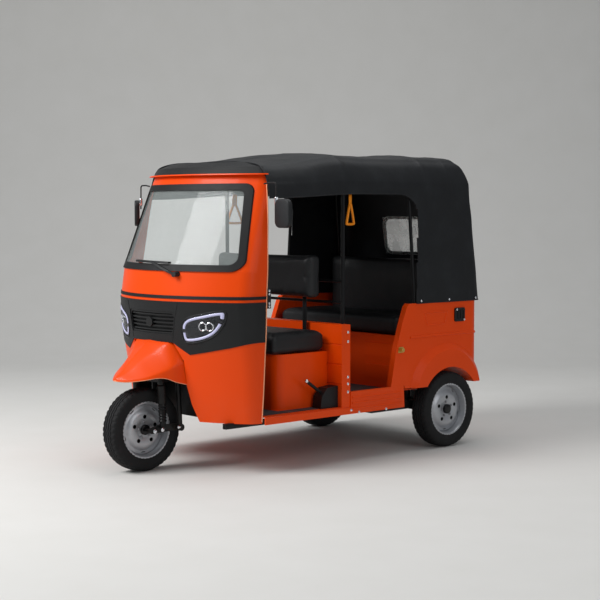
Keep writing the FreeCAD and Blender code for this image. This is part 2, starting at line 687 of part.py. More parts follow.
def make_rear_details():
    """Tail lamps, bumper, side vents and door-chain catches."""
    back = size.rear_end
    lamp = prism_x([(405, 560), (482, 560), (482, 705), (405, 705)], back - 16, back - GAP, 14)
    feature("tail_lamps", both_sides(lamp))
    bumper_x, bumper_z = back - 40, 348
    bar = bent_tube([V(bumper_x + 34, -470, bumper_z), V(bumper_x, -400, bumper_z),
                     V(bumper_x, 400, bumper_z), V(bumper_x + 34, 470, bumper_z)], 17, 60)
    arms = [block((bumper_x, -250 - GAP), (y - 15, y + 15), (bumper_z - 14, bumper_z - 13 + 20))
            for y in (-size.rail_y, size.rail_y)]
    drop = [block((-290, -250 - GAP), (y - 15, y + 15), (size.rail_bottom, bumper_z))
            for y in (-size.rail_y, size.rail_y)]
    feature("rear_bumper", joined([bar] + arms + drop))
    side = size.body_half_width + GAP
    vent = prism_y([(-159, 811), (-61, 811), (-61, 900), (-159, 900)], side, side + 7, 12)
    slots = [block((-145 + i * 26, -125 + i * 26), (side + 3, side + 9), (828, 884))
             for i in range(3)]
    feature("side_vents", both_sides(vent.cut(slots)))
    plate = prism_y([(415, 640), (462, 640), (456, 676), (415, 676)], side, side + 3)
    hook = rod(V(432, side + 1, 658), V(432, side + 18, 658), 8)
    knob = rod(V(432, side + 14, 658), V(432, side + 19, 658), 13)
    feature("side_catches", both_sides(joined([plate, hook, knob])))


def canopy_form(inset):
    """The canopy's outer form: side, front and plan outlines crossed."""
    low = size.body_top + size.hem_gap
    top = size.canopy_top - inset
    front = size.canopy_front
    wide, narrow = size.canopy_half_low - inset, size.canopy_half_high - inset
    far = front + 600
    foot = low - 200
    side = prism_y([(-348 + inset, foot), (-318 + inset, low), (-212 + inset, 1610),
                    (-112 + inset, top - 30), (150, top), (650, top - 4), (front, top - 70),
                    (far, top - 110), (far, foot)], -900, 900, 40)
    cross = prism_x([(wide, foot), (wide, low), (narrow, 1650), (narrow - 60, top - 70),
                     (narrow - 190, top - 14), (-narrow + 190, top - 14), (-narrow + 60, top - 70),
                     (-narrow, 1650), (-wide, low), (-wide, foot)], -900, 2500, 50)
    crown = Part.makeCylinder(3000, 3400, V(-900, 0, top - 3000), X_AXIS)
    slab = block((-900, 2500), (-900, 900), (low - 10, top + 50))
    plan = prism_z([(-318 + inset, -900), (far, -900), (far, 900), (-318 + inset, 900)], 900, 2000)
    body = side.common(cross).common(crown.common(slab)).common(plan)
    return body.common(block((-900, front), (-900, 900), (low, 2000)))


def make_canopy():
    """The fabric hood: roof, rear quarters and back, open at the doors and the front."""
    outer, low = canopy_form(0), size.body_top + size.hem_gap
    hollow = canopy_form(size.canopy_wall)
    nose = hollow.common(block((size.canopy_front - 2, size.canopy_front), (-900, 900), (0, 2000)))
    nose.translate(V(2, 0, 0))
    shell = outer.cut([hollow, nose])
    door = prism_y([(312, low - 5), (325, 1500), (390, 1600), (482, 1633), (988, 1630),
                    (size.canopy_front + 50, 1603), (size.canopy_front + 50, low - 5)], -900, 900)
    shell = shell.cut(door)
    window = prism_x([(-195, 1250), (195, 1250), (195, 1470), (-195, 1470)], -900, 0, 40)
    pane = prism_x([(-194, 1251), (194, 1251), (194, 1469), (-194, 1469)], -900, 0, 39)
    feature("canopy", max(shell.cut(window).Solids, key=lambda s: s.Volume))
    film = canopy_form(2).cut(canopy_form(4)).common(pane)
    feature("canopy_window", film.common(block((-900, -50), (-900, 900), (0, 2000))))


def make_canopy_frame():
    """Black tubes: poles, cant rails, hoops and the bars behind the driver."""
    y, z, r = size.pole_y, size.rail_z, size.tube_radius
    front, rear = size.canopy_front - 12, -130
    pieces = []
    for side in (-1, 1):
        pieces.append(rod(V(size.pole_x, side * y, size.partition_top + GAP),
                          V(size.pole_x, side * y, z), r))
        pieces.append(rod(V(rear, side * y, z), V(front, side * y, z), r + 1))
        for foot, head in ((298, 300), (-225, rear + 10)):
            pieces.append(rod(V(foot, side * (size.body_half_width - 15), size.body_top + GAP),
                              V(head, side * y, z), r - 1))
    for x, top in ((front - 10, 1792), (size.pole_x, 1848), (345, 1850), (rear + 70, 1846)):
        hoop = [V(x, -y, z), V(x, -y + 44, top - 62), V(x, -y + 195, top), V(x, y - 195, top),
                V(x, y - 44, top - 62), V(x, y, z)]
        pieces.append(bent_tube(hoop, size.hoop_radius, 60))
    for height in (970, 1100):
        pieces.append(rod(V(size.pole_x, -y, height), V(size.pole_x, y, height), 9))
    face = size.partition_front + 115 - size.backrest_wall - GAP
    for side in (-1, 1):
        pieces.append(block((size.pole_x, face), (side * 250 - 20, side * 250 + 20), (1090, 1110)))
    return feature("canopy_frame", welded(pieces))


def make_strap_handles():
    """Two hanging grab handles on short straps under the cant rails."""
    x, y, top = size.strap_x, size.pole_y - 2, size.rail_z - size.tube_radius - 1 - GAP
    strap = block((x - 13, x + 13), (y - 2, y + 2), (1540, top))
    ring = prism_y([(x - 45, 1440), (x + 45, 1440), (x, 1560)], y - 6, y + 6, 8)
    hole = prism_y([(x - 28, 1452), (x + 28, 1452), (x, 1528)], y - 7, y + 7, 5)
    return feature("strap_handles", both_sides(joined([strap, ring.cut(hole)])))


LEVER_Y = 548
LEVER_BOX_FRONT = 1085


def make_brake_lever():
    """The hand brake beside the driver's seat: a moulded cover and its lever."""
    low = size.driver_floor + GAP
    rear = size.partition_front + GAP
    cover = prism_y([(rear, low), (LEVER_BOX_FRONT, low), (LEVER_BOX_FRONT - 12, 415),
                     (1030, 462), (rear, 470)], LEVER_Y - 38, LEVER_Y + 38)
    lever = rod(V(1035, LEVER_Y, 425), V(1165, LEVER_Y, 512), 10)
    return feature("brake_lever", joined([cover, lever]))


def make_mirrors():
    """Door mirrors on bent arms from the cab's rear edge."""
    x, y, z = size.mirror_x, size.mirror_y, size.mirror_z
    half, tall, deep = size.mirror_width / 2, size.mirror_height / 2, size.mirror_wall / 2
    head = prism_x([(y - half, z - tall + 10), (y - half + 12, z + tall), (y + half, z + tall - 12),
                    (y + half - 14, z - tall)], x - deep, x + deep, 28)
    foot = V(size.cab_rear_top + 20, 541, 1672)
    arm = bent_tube([foot, V(x, 640, 1678), V(x, y - 10, 1668), V(x, y - 5, z + tall - 12)], 5, 14)
    pad = block((size.cab_rear_top + 12, size.cab_rear_top + 42), (534, 545), (1655, 1690))
    pad = pad.cut(cab_solid(GAP))
    arm = arm.cut(cab_solid(GAP))
    piece = joined([head, arm, pad])
    return feature("mirrors", both_sides(max(piece.Solids, key=lambda s: s.Volume)))


def make_dashboard():
    """The shelf inside the cab under the windscreen."""
    form = cab_solid(-WALL - GAP)
    return feature("dashboard", form.common(block((1790, 2300), (-520, 520), (1112, 1160))))


def make_chassis():
    """Rails, cross members, outriggers, damper towers and the steering head."""
    low, side = size.rail_bottom, size.rail_section
    top = low + side
    y = size.rail_y
    rails = [block((-250, 1590), (s * y - side / 2, s * y + side / 2), (low, top)) for s in (-1, 1)]
    pieces = rails
    engine_front = size.engine_rear + size.engine_length
    for x, wide in ((size.rear_cross, 50 - GAP), (engine_front + GAP, 50), (1000, 50), (1540, 50)):
        pieces.append(block((x, x + wide), (-y, y), (low, top)))
    half = size.body_half_width - 26 - GAP
    for x in (430, 800):
        pieces.append(block((x, x + 40), (-half, half), (top - 10, size.passenger_floor - size.floor_wall)))
    for s in (-1, 1):
        pieces.append(rod(V(size.arm_pivot_x, s * y, size.arm_pivot_z),
                          V(size.arm_pivot_x, s * (size.arm_y + size.arm_wall / 2), size.arm_pivot_z),
                          DAMPER_PIN))
        tower = block((110, 150), (s * y - 20, s * y + 20), (top - 5, TOWER_TOP))
        pin_top = rod(V(130, s * y, TOWER_TOP - 30), V(130, s * DAMPER_Y, TOWER_TOP - 30), DAMPER_PIN)
        pieces += [tower, pin_top]
    head = rod(on_axis(635), on_axis(985), size.head_tube_radius)
    brace = prism_y([(BRACE_REAR, top - 5), (BRACE_REAR + 50, top - 5), (1600, 600), (1700, 780),
                     (1672, 900), (1640, 900), (1565, 640)], -BRACE_HALF, BRACE_HALF)
    bore = rod(on_axis(600), on_axis(1020), size.stem_radius + size.bore_play)
    pieces += [head, brace]
    return feature("chassis_frame", joined(pieces).cut(bore))


BRACE_REAR = 1540
BRACE_HALF = 22
DAMPER_Y = 390
DAMPER_PIN = 12
TOWER_TOP = 640


def make_rear_axle():
    """Engine, half shafts, trailing arms with stub axles, and rear dampers."""
    front = size.engine_rear + size.engine_length
    engine = block((size.engine_rear, front), (-size.engine_half, size.engine_half),
                   (size.engine_bottom, size.engine_top))
    feature("engine_block", engine)
    axle = V(0, 0, size.tyre_radius)
    inner = size.arm_y - size.arm_wall / 2
    outer = size.arm_y + size.arm_wall / 2
    shaft = rod(axle + V(0, size.engine_half, 0), axle + V(0, inner, 0), size.shaft_radius)
    cups = [rod(axle + V(0, y, 0), axle + V(0, y + 45, 0), 34)
            for y in (size.engine_half, inner - 45)]
    feature("half_shafts", both_sides(joined([shaft] + cups)))
    pivot = V(size.arm_pivot_x, 0, size.arm_pivot_z)
    beam = prism_y([(-30, size.tyre_radius - 26), (30, size.tyre_radius - 30),
                    (pivot.x, pivot.z - 24), (pivot.x, pivot.z + 24), (60, size.tyre_radius + 34),
                    (-30, size.tyre_radius + 30)], inner, outer)
    eye = rod(pivot + V(0, inner, 0), pivot + V(0, outer, 0), 26)
    carrier = rod(axle + V(0, inner, 0), axle + V(0, outer, 0), 48)
    stub = rod(axle + V(0, outer, 0), axle + V(0, size.track / 2 + STUB_REACH, 0), size.stub_radius)
    foot = rod(V(130, DAMPER_Y, 300), V(130, inner + 5, 300), DAMPER_PIN - 1)
    arm = joined([beam, eye, carrier, stub, foot])
    hole = rod(pivot + V(0, inner - 1, 0), pivot + V(0, outer + 1, 0), DAMPER_PIN + GAP)
    feature("trailing_arms", both_sides(arm.cut(hole)))
    low, high = 300, TOWER_TOP - 30
    rise = high - low
    half_eye = 22
    profile = [(0, 0), (20, 0), (26, 30), (26, 60), (34, 66)]
    coils = 7
    pitch = (rise - 150) / coils
    for i in range(coils):
        profile += [(34, 70 + i * pitch), (38, 70 + (i + 0.5) * pitch), (34, 70 + (i + 0.98) * pitch)]
    profile += [(34, rise - 78), (18, rise - 70), (18, rise), (0, rise)]
    damper = turned(profile, V(130, DAMPER_Y, low), Z_AXIS)
    ends = [rod(V(130, DAMPER_Y - half_eye, z), V(130, DAMPER_Y + half_eye, z), 22)
            for z in (low, high)]
    damper = joined([damper] + ends)
    holes = [rod(V(130, DAMPER_Y - 60, z), V(130, DAMPER_Y + 60, z), DAMPER_PIN + GAP)
             for z in (low, high)]
    feature("rear_dampers", both_sides(damper.cut(holes)))


STUB_REACH = 20


def make_exhaust():
    """A silencer across the tail and its pipe from the engine."""
    x, z, r = -235, 262, 45
    can = rod(V(x, -190, z), V(x, 190, z), r)
    can = can.makeFillet(12, [e for e in can.Edges if len(e.Vertexes) == 1])
    pipe = rod(V(size.engine_rear - GAP, 60, 245), V(x, 60, 245), 16)
    strap = block((x + 30, size.rear_cross - GAP), (-120, -90), (size.rail_bottom - 5, size.rail_bottom + 15))
    tail = rod(V(x, -150, z - 10), V(x - 75, -150, z - 10), 14)
    return feature("exhaust", joined([can, pipe, strap, tail]))


def rim_shape(outward, bore):
    """A pressed steel wheel: rim, dished disc with holes, hub and brake drum."""
    half, wall = size.rim_width / 2, size.rim_wall
    bead, flange, well = size.rim_bead_radius, size.rim_flange_radius, size.rim_bead_radius - 22
    barrel = turned([
        (flange, -half), (flange, -half + wall), (bead, -half + wall + 3), (bead - 2, -half + 26),
        (well, -half + 34), (well, half - 38), (bead - 2, half - 26), (bead, half - wall - 3),
        (flange, half - wall), (flange, half), (bead - wall, half - 1), (bead - wall - 2, half - 28),
        (well - wall, half - 40), (well - wall, -half + 36), (bead - wall - 2, -half + 28),
        (bead - wall, -half + 1)], V(0, 0, 0), Z_AXIS)
    at = size.disc_offset
    disc_edge = well - wall / 2
    disc = turned([
        (bore, at), (58, at), (78, at + 12), (98, at + 12), (112, at - 2), (disc_edge, at - 4),
        (disc_edge, at - 4 - wall), (112, at - 2 - wall), (98, at + 12 - wall),
        (80, at + 12 - wall), (60, at - wall), (bore, at - wall)], V(0, 0, 0), Z_AXIS)
    holes = [Part.makeCylinder(size.wheel_hole_radius + 3, 60, V(88 * math.cos(a), 88 * math.sin(a), at - 20))
             for a in [i * 2 * math.pi / size.wheel_holes for i in range(int(size.wheel_holes))]]
    disc = disc.cut(holes)
    reach = size.hub_cap_length
    hub = turned([
        (bore, -size.hub_half_length), (size.hub_radius, -size.hub_half_length),
        (size.hub_radius, at + 4), (size.hub_cap_radius, at + 6), (size.hub_cap_radius, at + reach),
        (size.hub_cap_radius - 6, at + reach + 4), (bore, at + reach + 4)], V(0, 0, 0), Z_AXIS)
    drum = turned([
        (bore, at - wall), (size.drum_radius - 14, at - wall), (size.drum_radius, at - wall - 12),
        (size.drum_radius, at - wall - size.drum_depth), (bore, at - wall - size.drum_depth)],
        V(0, 0, 0), Z_AXIS)
    shape = joined([barrel, disc, hub, drum])
    if outward is None:
        return shape
    cap_z = at + reach
    cap = turned([(0, cap_z), (bore + 1, cap_z), (bore + 1, cap_z + 4), (0, cap_z + 4)], V(0, 0, 0), Z_AXIS)
    return joined([shape, cap])


def tyre_shape():
    """A plain tyre: flat tread with rounded shoulders, sidewalls and bead seats."""
    half, outer = size.tyre_width / 2, size.tyre_radius
    bead, flange = size.rim_bead_radius + GAP, size.rim_flange_radius + GAP
    rim_half = size.rim_width / 2
    corner = size.tread_corner
    crown = 5
    profile = [
        (bead, -rim_half + size.rim_wall + 4), (flange, -rim_half + size.rim_wall + 4),
        (flange, -rim_half - 2), (flange + 14, -half + 4), (outer - 48, -half), (outer - corner - 4, -half + 4),
        (outer - crown, -half + corner), (outer, -half + corner + 16), (outer, half - corner - 16),
        (outer - crown, half - corner), (outer - corner - 4, half - 4), (outer - 48, half),
        (flange + 14, half - 4), (flange, rim_half + 2), (flange, rim_half - size.rim_wall - 4),
        (bead, rim_half - size.rim_wall - 4), (bead, rim_half - 22), (outer - 26, half - 34),
        (outer - 26, -half + 34), (bead, -rim_half + 22)]
    return turned(profile, V(0, 0, 0), Z_AXIS)


def make_wheels():
    """Three wheels, each a rim with its tyre."""
    for place, x, y, facing, bore in (
            ("front", size.wheelbase, 0, 1, size.axle_radius),
            ("rear_left", 0, size.track / 2, 1, size.stub_radius),
            ("rear_right", 0, -size.track / 2, -1, size.stub_radius)):
        capped = None if place == "front" else facing
        for kind, shape in (("rim", rim_shape(capped, bore + size.bore_play)), ("tyre", tyre_shape())):
            turn = FreeCAD.Rotation(Z_AXIS, V(0, facing, 0))
            axle = FreeCAD.Placement(V(x, y, size.tyre_radius), turn)
            name = "front_" + kind if place == "front" else "rear_%s_%s" % (kind, place[5:])
            shape.Placement = axle
            item = feature(name, shape)


def make_steering():
    """Fork, leading links with the axle, front dampers and handlebar."""
    y, r = size.fork_half, size.leg_radius
    eye = r + 2
    low, high = size.crown_bottom, size.crown_bottom + size.crown_wall
    pivot = V(size.link_pivot_x, 0, size.link_pivot_z)
    axle = V(size.wheelbase, 0, size.tyre_radius)
    foot = V(size.damper_foot_x, 0, size.damper_foot_z)
    head = V(size.damper_foot_x + 13, 0, low)
    crown_plan = [(pivot.x - 8, -y - 20), (head.x + 25, -y - 20), (head.x + 25, y + 20),
                  (pivot.x - 8, y + 20)]
    crown = prism_z(crown_plan, low, high, 18)
    stem = rod(on_axis(high - 10), on_axis(size.bar_z - 10), size.stem_radius)
    legs, links, dampers = [], [], []
    for s in (-1, 1):
        side = V(0, s * y, 0)
        legs.append(rod(V(pivot.x + 14, s * y, low + 5), pivot + side + V(0, 0, 14), r))
        legs.append(rod(pivot + V(0, s * y - eye, 0), pivot + V(0, s * y + eye, 0), 21))
    fork = joined([crown, stem] + legs)
    feature("fork", fork)
    in_face, out_face = y - eye - GAP - size.link_wall, y - eye - GAP
    h = size.link_height / 2
    for s in (-1, 1):
        lo, hi = sorted((s * in_face, s * out_face))
        plate = prism_y([(pivot.x, pivot.z - h), (axle.x, axle.z - h), (axle.x, axle.z + h),
                         (foot.x, foot.z + 6), (pivot.x, pivot.z + h)], lo, hi)
        ends = [rod(p + V(0, lo, 0), p + V(0, hi, 0), h) for p in (pivot, axle)]
        peg = rod(foot + V(0, s * in_face, 0), foot + V(0, s * (y + 14), 0), 8)
        links += [plate, peg] + ends
    links.append(rod(axle + V(0, -in_face - 2, 0), axle + V(0, in_face + 2, 0), size.axle_radius))
    feature("leading_links", joined(links))
    rise = head - foot - V(0, 0, GAP)
    length = rise.Length
    coils = 6
    body = size.damper_radius
    profile = [(0, 0), (body - 6, 0), (body - 6, 18)]
    pitch = (length * 0.42) / coils
    for i in range(coils):
        profile += [(body - 6, 20 + i * pitch), (body, 20 + (i + 0.5) * pitch)]
    profile += [(body - 4, 20 + coils * pitch + 4), (body + 3, 20 + coils * pitch + 6),
                (body + 3, length - 22), (body - 4, length - 14), (body - 4, length), (0, length)]
    for s in (-1, 1):
        damper = turned(profile, foot + V(0, s * y, 0), rise)
        ring = rod(foot + V(0, s * y - 9, 0), foot + V(0, s * y + 9, 0), 17)
        hole = rod(foot + V(0, s * y - 40, 0), foot + V(0, s * y + 40, 0), 8 + GAP)
        damper = joined([damper, ring]).cut(hole)
        room = block((1700, 2100), (-400, 400), (0, low - GAP))
        lean = s * (in_face + size.link_wall + GAP)
        keep_out = block((1700, 2100), tuple(sorted((0, lean))), (0, 400))
        dampers.append(damper.common(room).cut(keep_out))
    feature("front_shocks", Part.Compound(dampers))
    top = on_axis(size.bar_z)
    bar = bent_tube([top + V(-70, -size.bar_half, 12), top + V(-12, -130, 12), top + V(-12, 130, 12),
                     top + V(-70, size.bar_half, 12)], size.bar_radius, 60)
    clamp = rod(on_axis(size.bar_z - 30), on_axis(size.bar_z + 12), 30)
    clamp = clamp.cut(rod(on_axis(size.bar_z - 60), on_axis(size.bar_z - 10), size.stem_radius))
    grips = []
    for s in (-1, 1):
        end = top + V(-70, s * size.bar_half, 12)
        bend = top + V(-12, s * 130, 12)
        grips.append(rod(end, end + (bend - end) * 0.55, size.grip_radius))
    console = prism_z([(top.x - 40, -95), (top.x + 62, -70), (top.x + 62, 70), (top.x - 40, 95)],
                      size.bar_z - 4, size.bar_z + 26, 20)
    feature("handlebar", joined([bar, clamp, console] + grips))


make_cab_upper_panel()
make_belt_strip()
make_front_mask()
make_front_grille()
make_headlamps()
make_leg_shield()
make_front_beak()
make_windscreen()
make_wiper()
make_roof_cap()
make_wheel_well()
make_dashboard()
make_mirrors()
make_floor()
make_floor_mats()
make_side_sills()
make_partition()
make_driver_seat()
make_passenger_seat()
make_rear_quarters()
make_rear_panel()
make_engine_lid()
make_rear_details()
make_canopy()
make_canopy_frame()
make_strap_handles()
make_brake_lever()
make_chassis()
make_rear_axle()
make_exhaust()
make_wheels()
make_steering()

doc.recompute()
whole = FreeCAD.BoundBox()
for item in parts:
    whole.add(item.Shape.BoundBox)
datum = V((whole.XMin + whole.XMax) / 2, (whole.YMin + whole.YMax) / 2, whole.ZMin)
for item in parts:
    item.Placement.Base = item.Placement.Base - datum
doc.recompute()

for item in doc.Objects:
    assert not {"Invalid", "Error"} & set(item.State), item.Label
faulty = [item.Label for item in parts if item.Shape.isNull() or not item.Shape.isValid()]
assert not faulty, faulty
os.makedirs("parts", exist_ok=True)
for item in parts:
    item.Shape.exportStep("parts/%s.step" % item.Label)
print("origin from the rear axle", [round(v, 2) for v in datum])
print("whole size", round(whole.XLength, 1), round(whole.YLength, 1), round(whole.ZLength, 1))
print(len(parts), "sub-parts")
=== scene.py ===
# %% [markdown]
# # An auto rickshaw, dressed for its portrait
#
# The vehicle itself is built elsewhere as exact solids. This lesson loads those solids as a
# frame that stays where it is, gives each one a believable finish, and then models what solids
# can't show well: stretched canvas, stuffed seats, tyre tread, lamps, stitching and small
# fasteners. Everything is in metres, with +X forwards, +Y to the driver's left and +Z up.

# %% Load the frame
import math

import bmesh
import bpy
import numpy as np
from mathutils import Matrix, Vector, noise


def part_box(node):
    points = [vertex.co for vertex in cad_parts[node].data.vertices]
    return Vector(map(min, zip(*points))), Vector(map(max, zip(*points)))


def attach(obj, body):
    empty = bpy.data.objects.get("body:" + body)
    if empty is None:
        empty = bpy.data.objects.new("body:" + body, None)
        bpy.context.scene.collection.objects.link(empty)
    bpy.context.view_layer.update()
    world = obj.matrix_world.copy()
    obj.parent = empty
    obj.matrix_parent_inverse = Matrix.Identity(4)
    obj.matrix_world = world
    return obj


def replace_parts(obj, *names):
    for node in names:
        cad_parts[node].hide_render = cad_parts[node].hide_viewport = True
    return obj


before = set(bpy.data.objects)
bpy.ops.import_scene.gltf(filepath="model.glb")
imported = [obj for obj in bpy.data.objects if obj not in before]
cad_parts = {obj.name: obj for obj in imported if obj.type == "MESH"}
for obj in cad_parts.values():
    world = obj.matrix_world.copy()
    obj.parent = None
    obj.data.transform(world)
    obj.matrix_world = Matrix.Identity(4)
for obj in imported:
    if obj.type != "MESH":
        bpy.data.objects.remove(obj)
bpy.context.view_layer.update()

# %% [markdown]
# ## Where things are
#
# The designer measured the vehicle from the ground under the middle of its rear axle, so it
# helps to think in the same way. That point lies midway between the two rear tyres. Every new
# piece is modelled around it, and is moved to its place in the scene when it is finished.

# %% Measuring from the rear axle
left_low, left_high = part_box("rear_tyre_left")
right_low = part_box("rear_tyre_right")[0]
AXLE = Vector(((left_low.x + left_high.x) / 2, (left_high.y + right_low.y) / 2, 0))
WHEELBASE = sum(corner.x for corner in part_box("front_tyre")) / 2 - AXLE.x


def at(x, y, z):
    """The scene's point x metres ahead of the rear axle, y to the left, z above the ground."""
    return AXLE + Vector((x, y, z))


def span(node):
    """The lowest and highest corners of a CAD node, measured from the rear axle."""
    return [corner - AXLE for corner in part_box(node)]


print("rear axle at", [round(v, 4) for v in AXLE], "and wheelbase", round(WHEELBASE, 3))

# %% [markdown]
# ## The camera
#
# The photograph was taken standing, ahead of the vehicle and to its left, with a long lens.
# A long lens flattens the perspective, so the near and far wheels look almost equally large.
# The direction is given by two angles, which are easier to adjust than a rotation matrix.

# %% Place the camera
CAMERA_PLACE = at(6.8086, 6.7706, 1.5217)
CAMERA_YAW = math.radians(41.942)
CAMERA_PITCH = math.radians(3.563)
FOCAL_PIXELS = 1412.58
FRAME_PIXELS = 600

bpy.ops.object.select_all(action="DESELECT")
bpy.ops.object.camera_add(location=CAMERA_PLACE)
camera = bpy.context.object
looking = Vector((-math.sin(CAMERA_YAW) * math.cos(CAMERA_PITCH),
                  -math.cos(CAMERA_YAW) * math.cos(CAMERA_PITCH), -math.sin(CAMERA_PITCH)))
camera.rotation_euler = looking.to_track_quat("-Z", "Y").to_euler()
camera.data.sensor_width = 36
camera.data.lens = FOCAL_PIXELS / FRAME_PIXELS * camera.data.sensor_width
bpy.context.scene.camera = camera
print("lens", round(camera.data.lens, 1), "mm")

# %% [markdown]
# ## Floor, backdrop and light
#
# A studio shot uses one seamless sheet that is floor in front and wall behind. It is a plane
# whose far edge is extruded upwards, with the fold between them bevelled into a wide curve.

# %% Roll out the backdrop


def deselect():
    """Leaves edit mode and selects nothing, so that the next operator acts on one piece only."""
    if bpy.context.object and bpy.context.object.mode != "OBJECT":
        bpy.ops.object.mode_set(mode="OBJECT")
    bpy.ops.object.select_all(action="DESELECT")


def middle(item):
    """The middle of a vertex, edge or face of a mesh in edit mode."""
    if isinstance(item, bmesh.types.BMVert):
        return item.co
    return sum((v.co for v in item.verts), Vector()) / len(item.verts)


def choose(kind, test):
    """In edit mode, selects the verts, edges or faces that pass the test, and counts them."""
    bpy.ops.mesh.select_mode(type={"verts": "VERT", "edges": "EDGE", "faces": "FACE"}[kind])
    bpy.ops.mesh.select_all(action="DESELECT")
    mesh = bmesh.from_edit_mesh(bpy.context.object.data)
    found = [item for item in getattr(mesh, kind) if test(item)]
    for item in found:
        item.select_set(True)
    bmesh.update_edit_mesh(bpy.context.object.data)
    return len(found)


FLOOR_HALF = 16
WALL_AHEAD = 9
WALL_HEIGHT = 9
FOLD_RADIUS = 4

deselect()
behind = Vector((looking.x, looking.y, 0)).normalized()
bpy.ops.mesh.primitive_plane_add(size=2 * FLOOR_HALF,
                                 rotation=(0, 0, math.atan2(behind.y, behind.x)))
backdrop = bpy.context.object
backdrop.name = "backdrop"
backdrop.location = behind * (WALL_AHEAD - FLOOR_HALF)
bpy.ops.object.mode_set(mode="EDIT")
choose("edges", lambda e: middle(e).x > FLOOR_HALF - 0.01)
bpy.ops.mesh.extrude_region_move(TRANSFORM_OT_translate={"value": (0, 0, WALL_HEIGHT)})
choose("edges", lambda e: middle(e).x > FLOOR_HALF - 0.01 and middle(e).z < 0.01
       and abs(e.verts[0].co.z - e.verts[1].co.z) < 0.01)
bpy.ops.mesh.bevel(offset=FOLD_RADIUS, segments=24, affect="EDGES")
deselect()
backdrop.select_set(True)
bpy.ops.object.transform_apply(location=True, rotation=True, scale=True)
bpy.ops.object.shade_smooth()
print("backdrop has", len(backdrop.data.polygons), "faces")

# %% [markdown]
# The sky outside is a huge soft lamp, and its brightest part is in front of the vehicle. A wide
# area lamp up there does the same, with a weaker one on the camera's side so that the shaded
# flank keeps its colour. An area lamp shines along its own -Z, so it is aimed like the camera.

# %% Hang the lamps
LAMPS = [  # name, place, size in metres, power in watts
    ("key", at(6.8, -1.6, 5.4), 4.0, 560),
    ("side", at(1.5, 8.5, 4.5), 6.0, 120),
    ("top", at(-0.5, 0.0, 7.5), 6.0, 215),
]
TARGET = at(0.9, 0, 0.8)

for name, place, width, power in LAMPS:
    deselect()
    bpy.ops.object.light_add(type="AREA", location=place)
    lamp = bpy.context.object
    lamp.name = name + "_lamp"
    lamp.data.shape = "DISK"
    lamp.data.size = width
    lamp.data.energy = power
    lamp.rotation_euler = (TARGET - place).to_track_quat("-Z", "Y").to_euler()
print(len(LAMPS), "lamps")

# %% [markdown]
# ## A small language for materials
#
# A procedural material is a sum of patterns. Drawn as nodes it soon becomes a tangle, so here
# one class wraps a node's output and lets it be added, multiplied or compared as if it were a
# number. Each expression adds the nodes that a person would otherwise wire by hand.

# %% Values and finishes


class Value:
    """Something that changes over a surface. Arithmetic with it adds Math nodes."""

    def __init__(self, finish, socket):
        self.finish, self.socket = finish, socket

    def maths(self, operation, *terms):
        """One Math node."""
        return self.finish.node("ShaderNodeMath", {"operation": operation},
                                dict(enumerate(terms)))["Value"]

    def __add__(self, other):
        return self.maths("ADD", self, other)

    def __sub__(self, other):
        return self.maths("SUBTRACT", self, other)

    def __rsub__(self, other):
        return self.maths("SUBTRACT", other, self)

    def __mul__(self, other):
        return self.maths("MULTIPLY", self, other)

    __radd__, __rmul__ = __add__, __mul__

    def above(self, low, high):
        """0 below low, 1 above high, and a smooth ramp between them."""
        return self.finish.node("ShaderNodeMapRange", {"interpolation_type": "SMOOTHSTEP"},
                                {"Value": self, "From Min": low, "From Max": high})["Result"]

    def part(self, axis):
        """One coordinate of a vector."""
        return self.finish.node("ShaderNodeSeparateXYZ", inputs={0: self})[axis]


class Finish:
    """A material, built up node by node around one Principled shader."""

    def __init__(self, name, slot):
        self.material = bpy.data.materials.new(name)
        self.material.use_nodes = True
        self.material["record_slot"] = slot
        self.tree = self.material.node_tree
        self.shader = self.tree.nodes["Principled BSDF"]
        self.place = self.node("ShaderNodeTexCoord")["Object"]

    def node(self, kind, settings=None, inputs=None):
        """Adds a node. Settings come first, then values or links; outputs are found by name."""
        made = self.tree.nodes.new(kind)
        for key, setting in (settings or {}).items():
            setattr(made, key, setting)
        for key, given in (inputs or {}).items():
            self.feed(made.inputs[key], given)
        return {socket.name: Value(self, socket) for socket in made.outputs if socket.enabled}

    def feed(self, socket, given):
        """Links a changing value to a socket, or sets a plain one on it."""
        if isinstance(given, Value):
            self.tree.links.new(given.socket, socket)
        else:
            socket.default_value = given

    def surface(self, **given):
        """Fills the shader's sockets: base_color=..., coat_weight=... and so on."""
        for key, value in given.items():
            label = key.replace("_", " ").title().replace("Ior", "IOR")
            self.feed(self.shader.inputs[label], value)

    def noise(self, scale, detail=3.0, roughness=0.5, stretch=(1, 1, 1), place=None):
        """Cloudy noise with about that many blobs per metre."""
        vector = (place or self.place)
        if stretch != (1, 1, 1):
            vector = self.node("ShaderNodeMapping",
                               inputs={"Vector": vector, "Scale": stretch})["Vector"]
        return self.node("ShaderNodeTexNoise", inputs={
            "Vector": vector, "Scale": scale, "Detail": detail, "Roughness": roughness})["Fac"]

    def mix(self, share, first, second):
        """The first colour where share is 0 and the second where it is 1."""
        return self.node("ShaderNodeMix", {"data_type": "RGBA"},
                         {0: share, 6: first, 7: second})["Result"]

    def relief(self, height, depth, strength=1.0, under=None):
        """Raises the surface by height times depth in metres, on top of another relief."""
        inputs = {"Height": height, "Distance": depth, "Strength": strength}
        if under:
            inputs["Normal"] = under
        return self.node("ShaderNodeBump", inputs=inputs)["Normal"]


def colour(red, green, blue):
    """A screen colour from 0 to 255, as the linear values that a shader takes."""
    return tuple(((c / 255 + 0.055) / 1.055) ** 2.4 if c > 10 else c / 255 / 12.92
                 for c in (red, green, blue)) + (1,)


print("the orange paint is", [round(c, 3) for c in colour(230, 70, 0)[:3]])

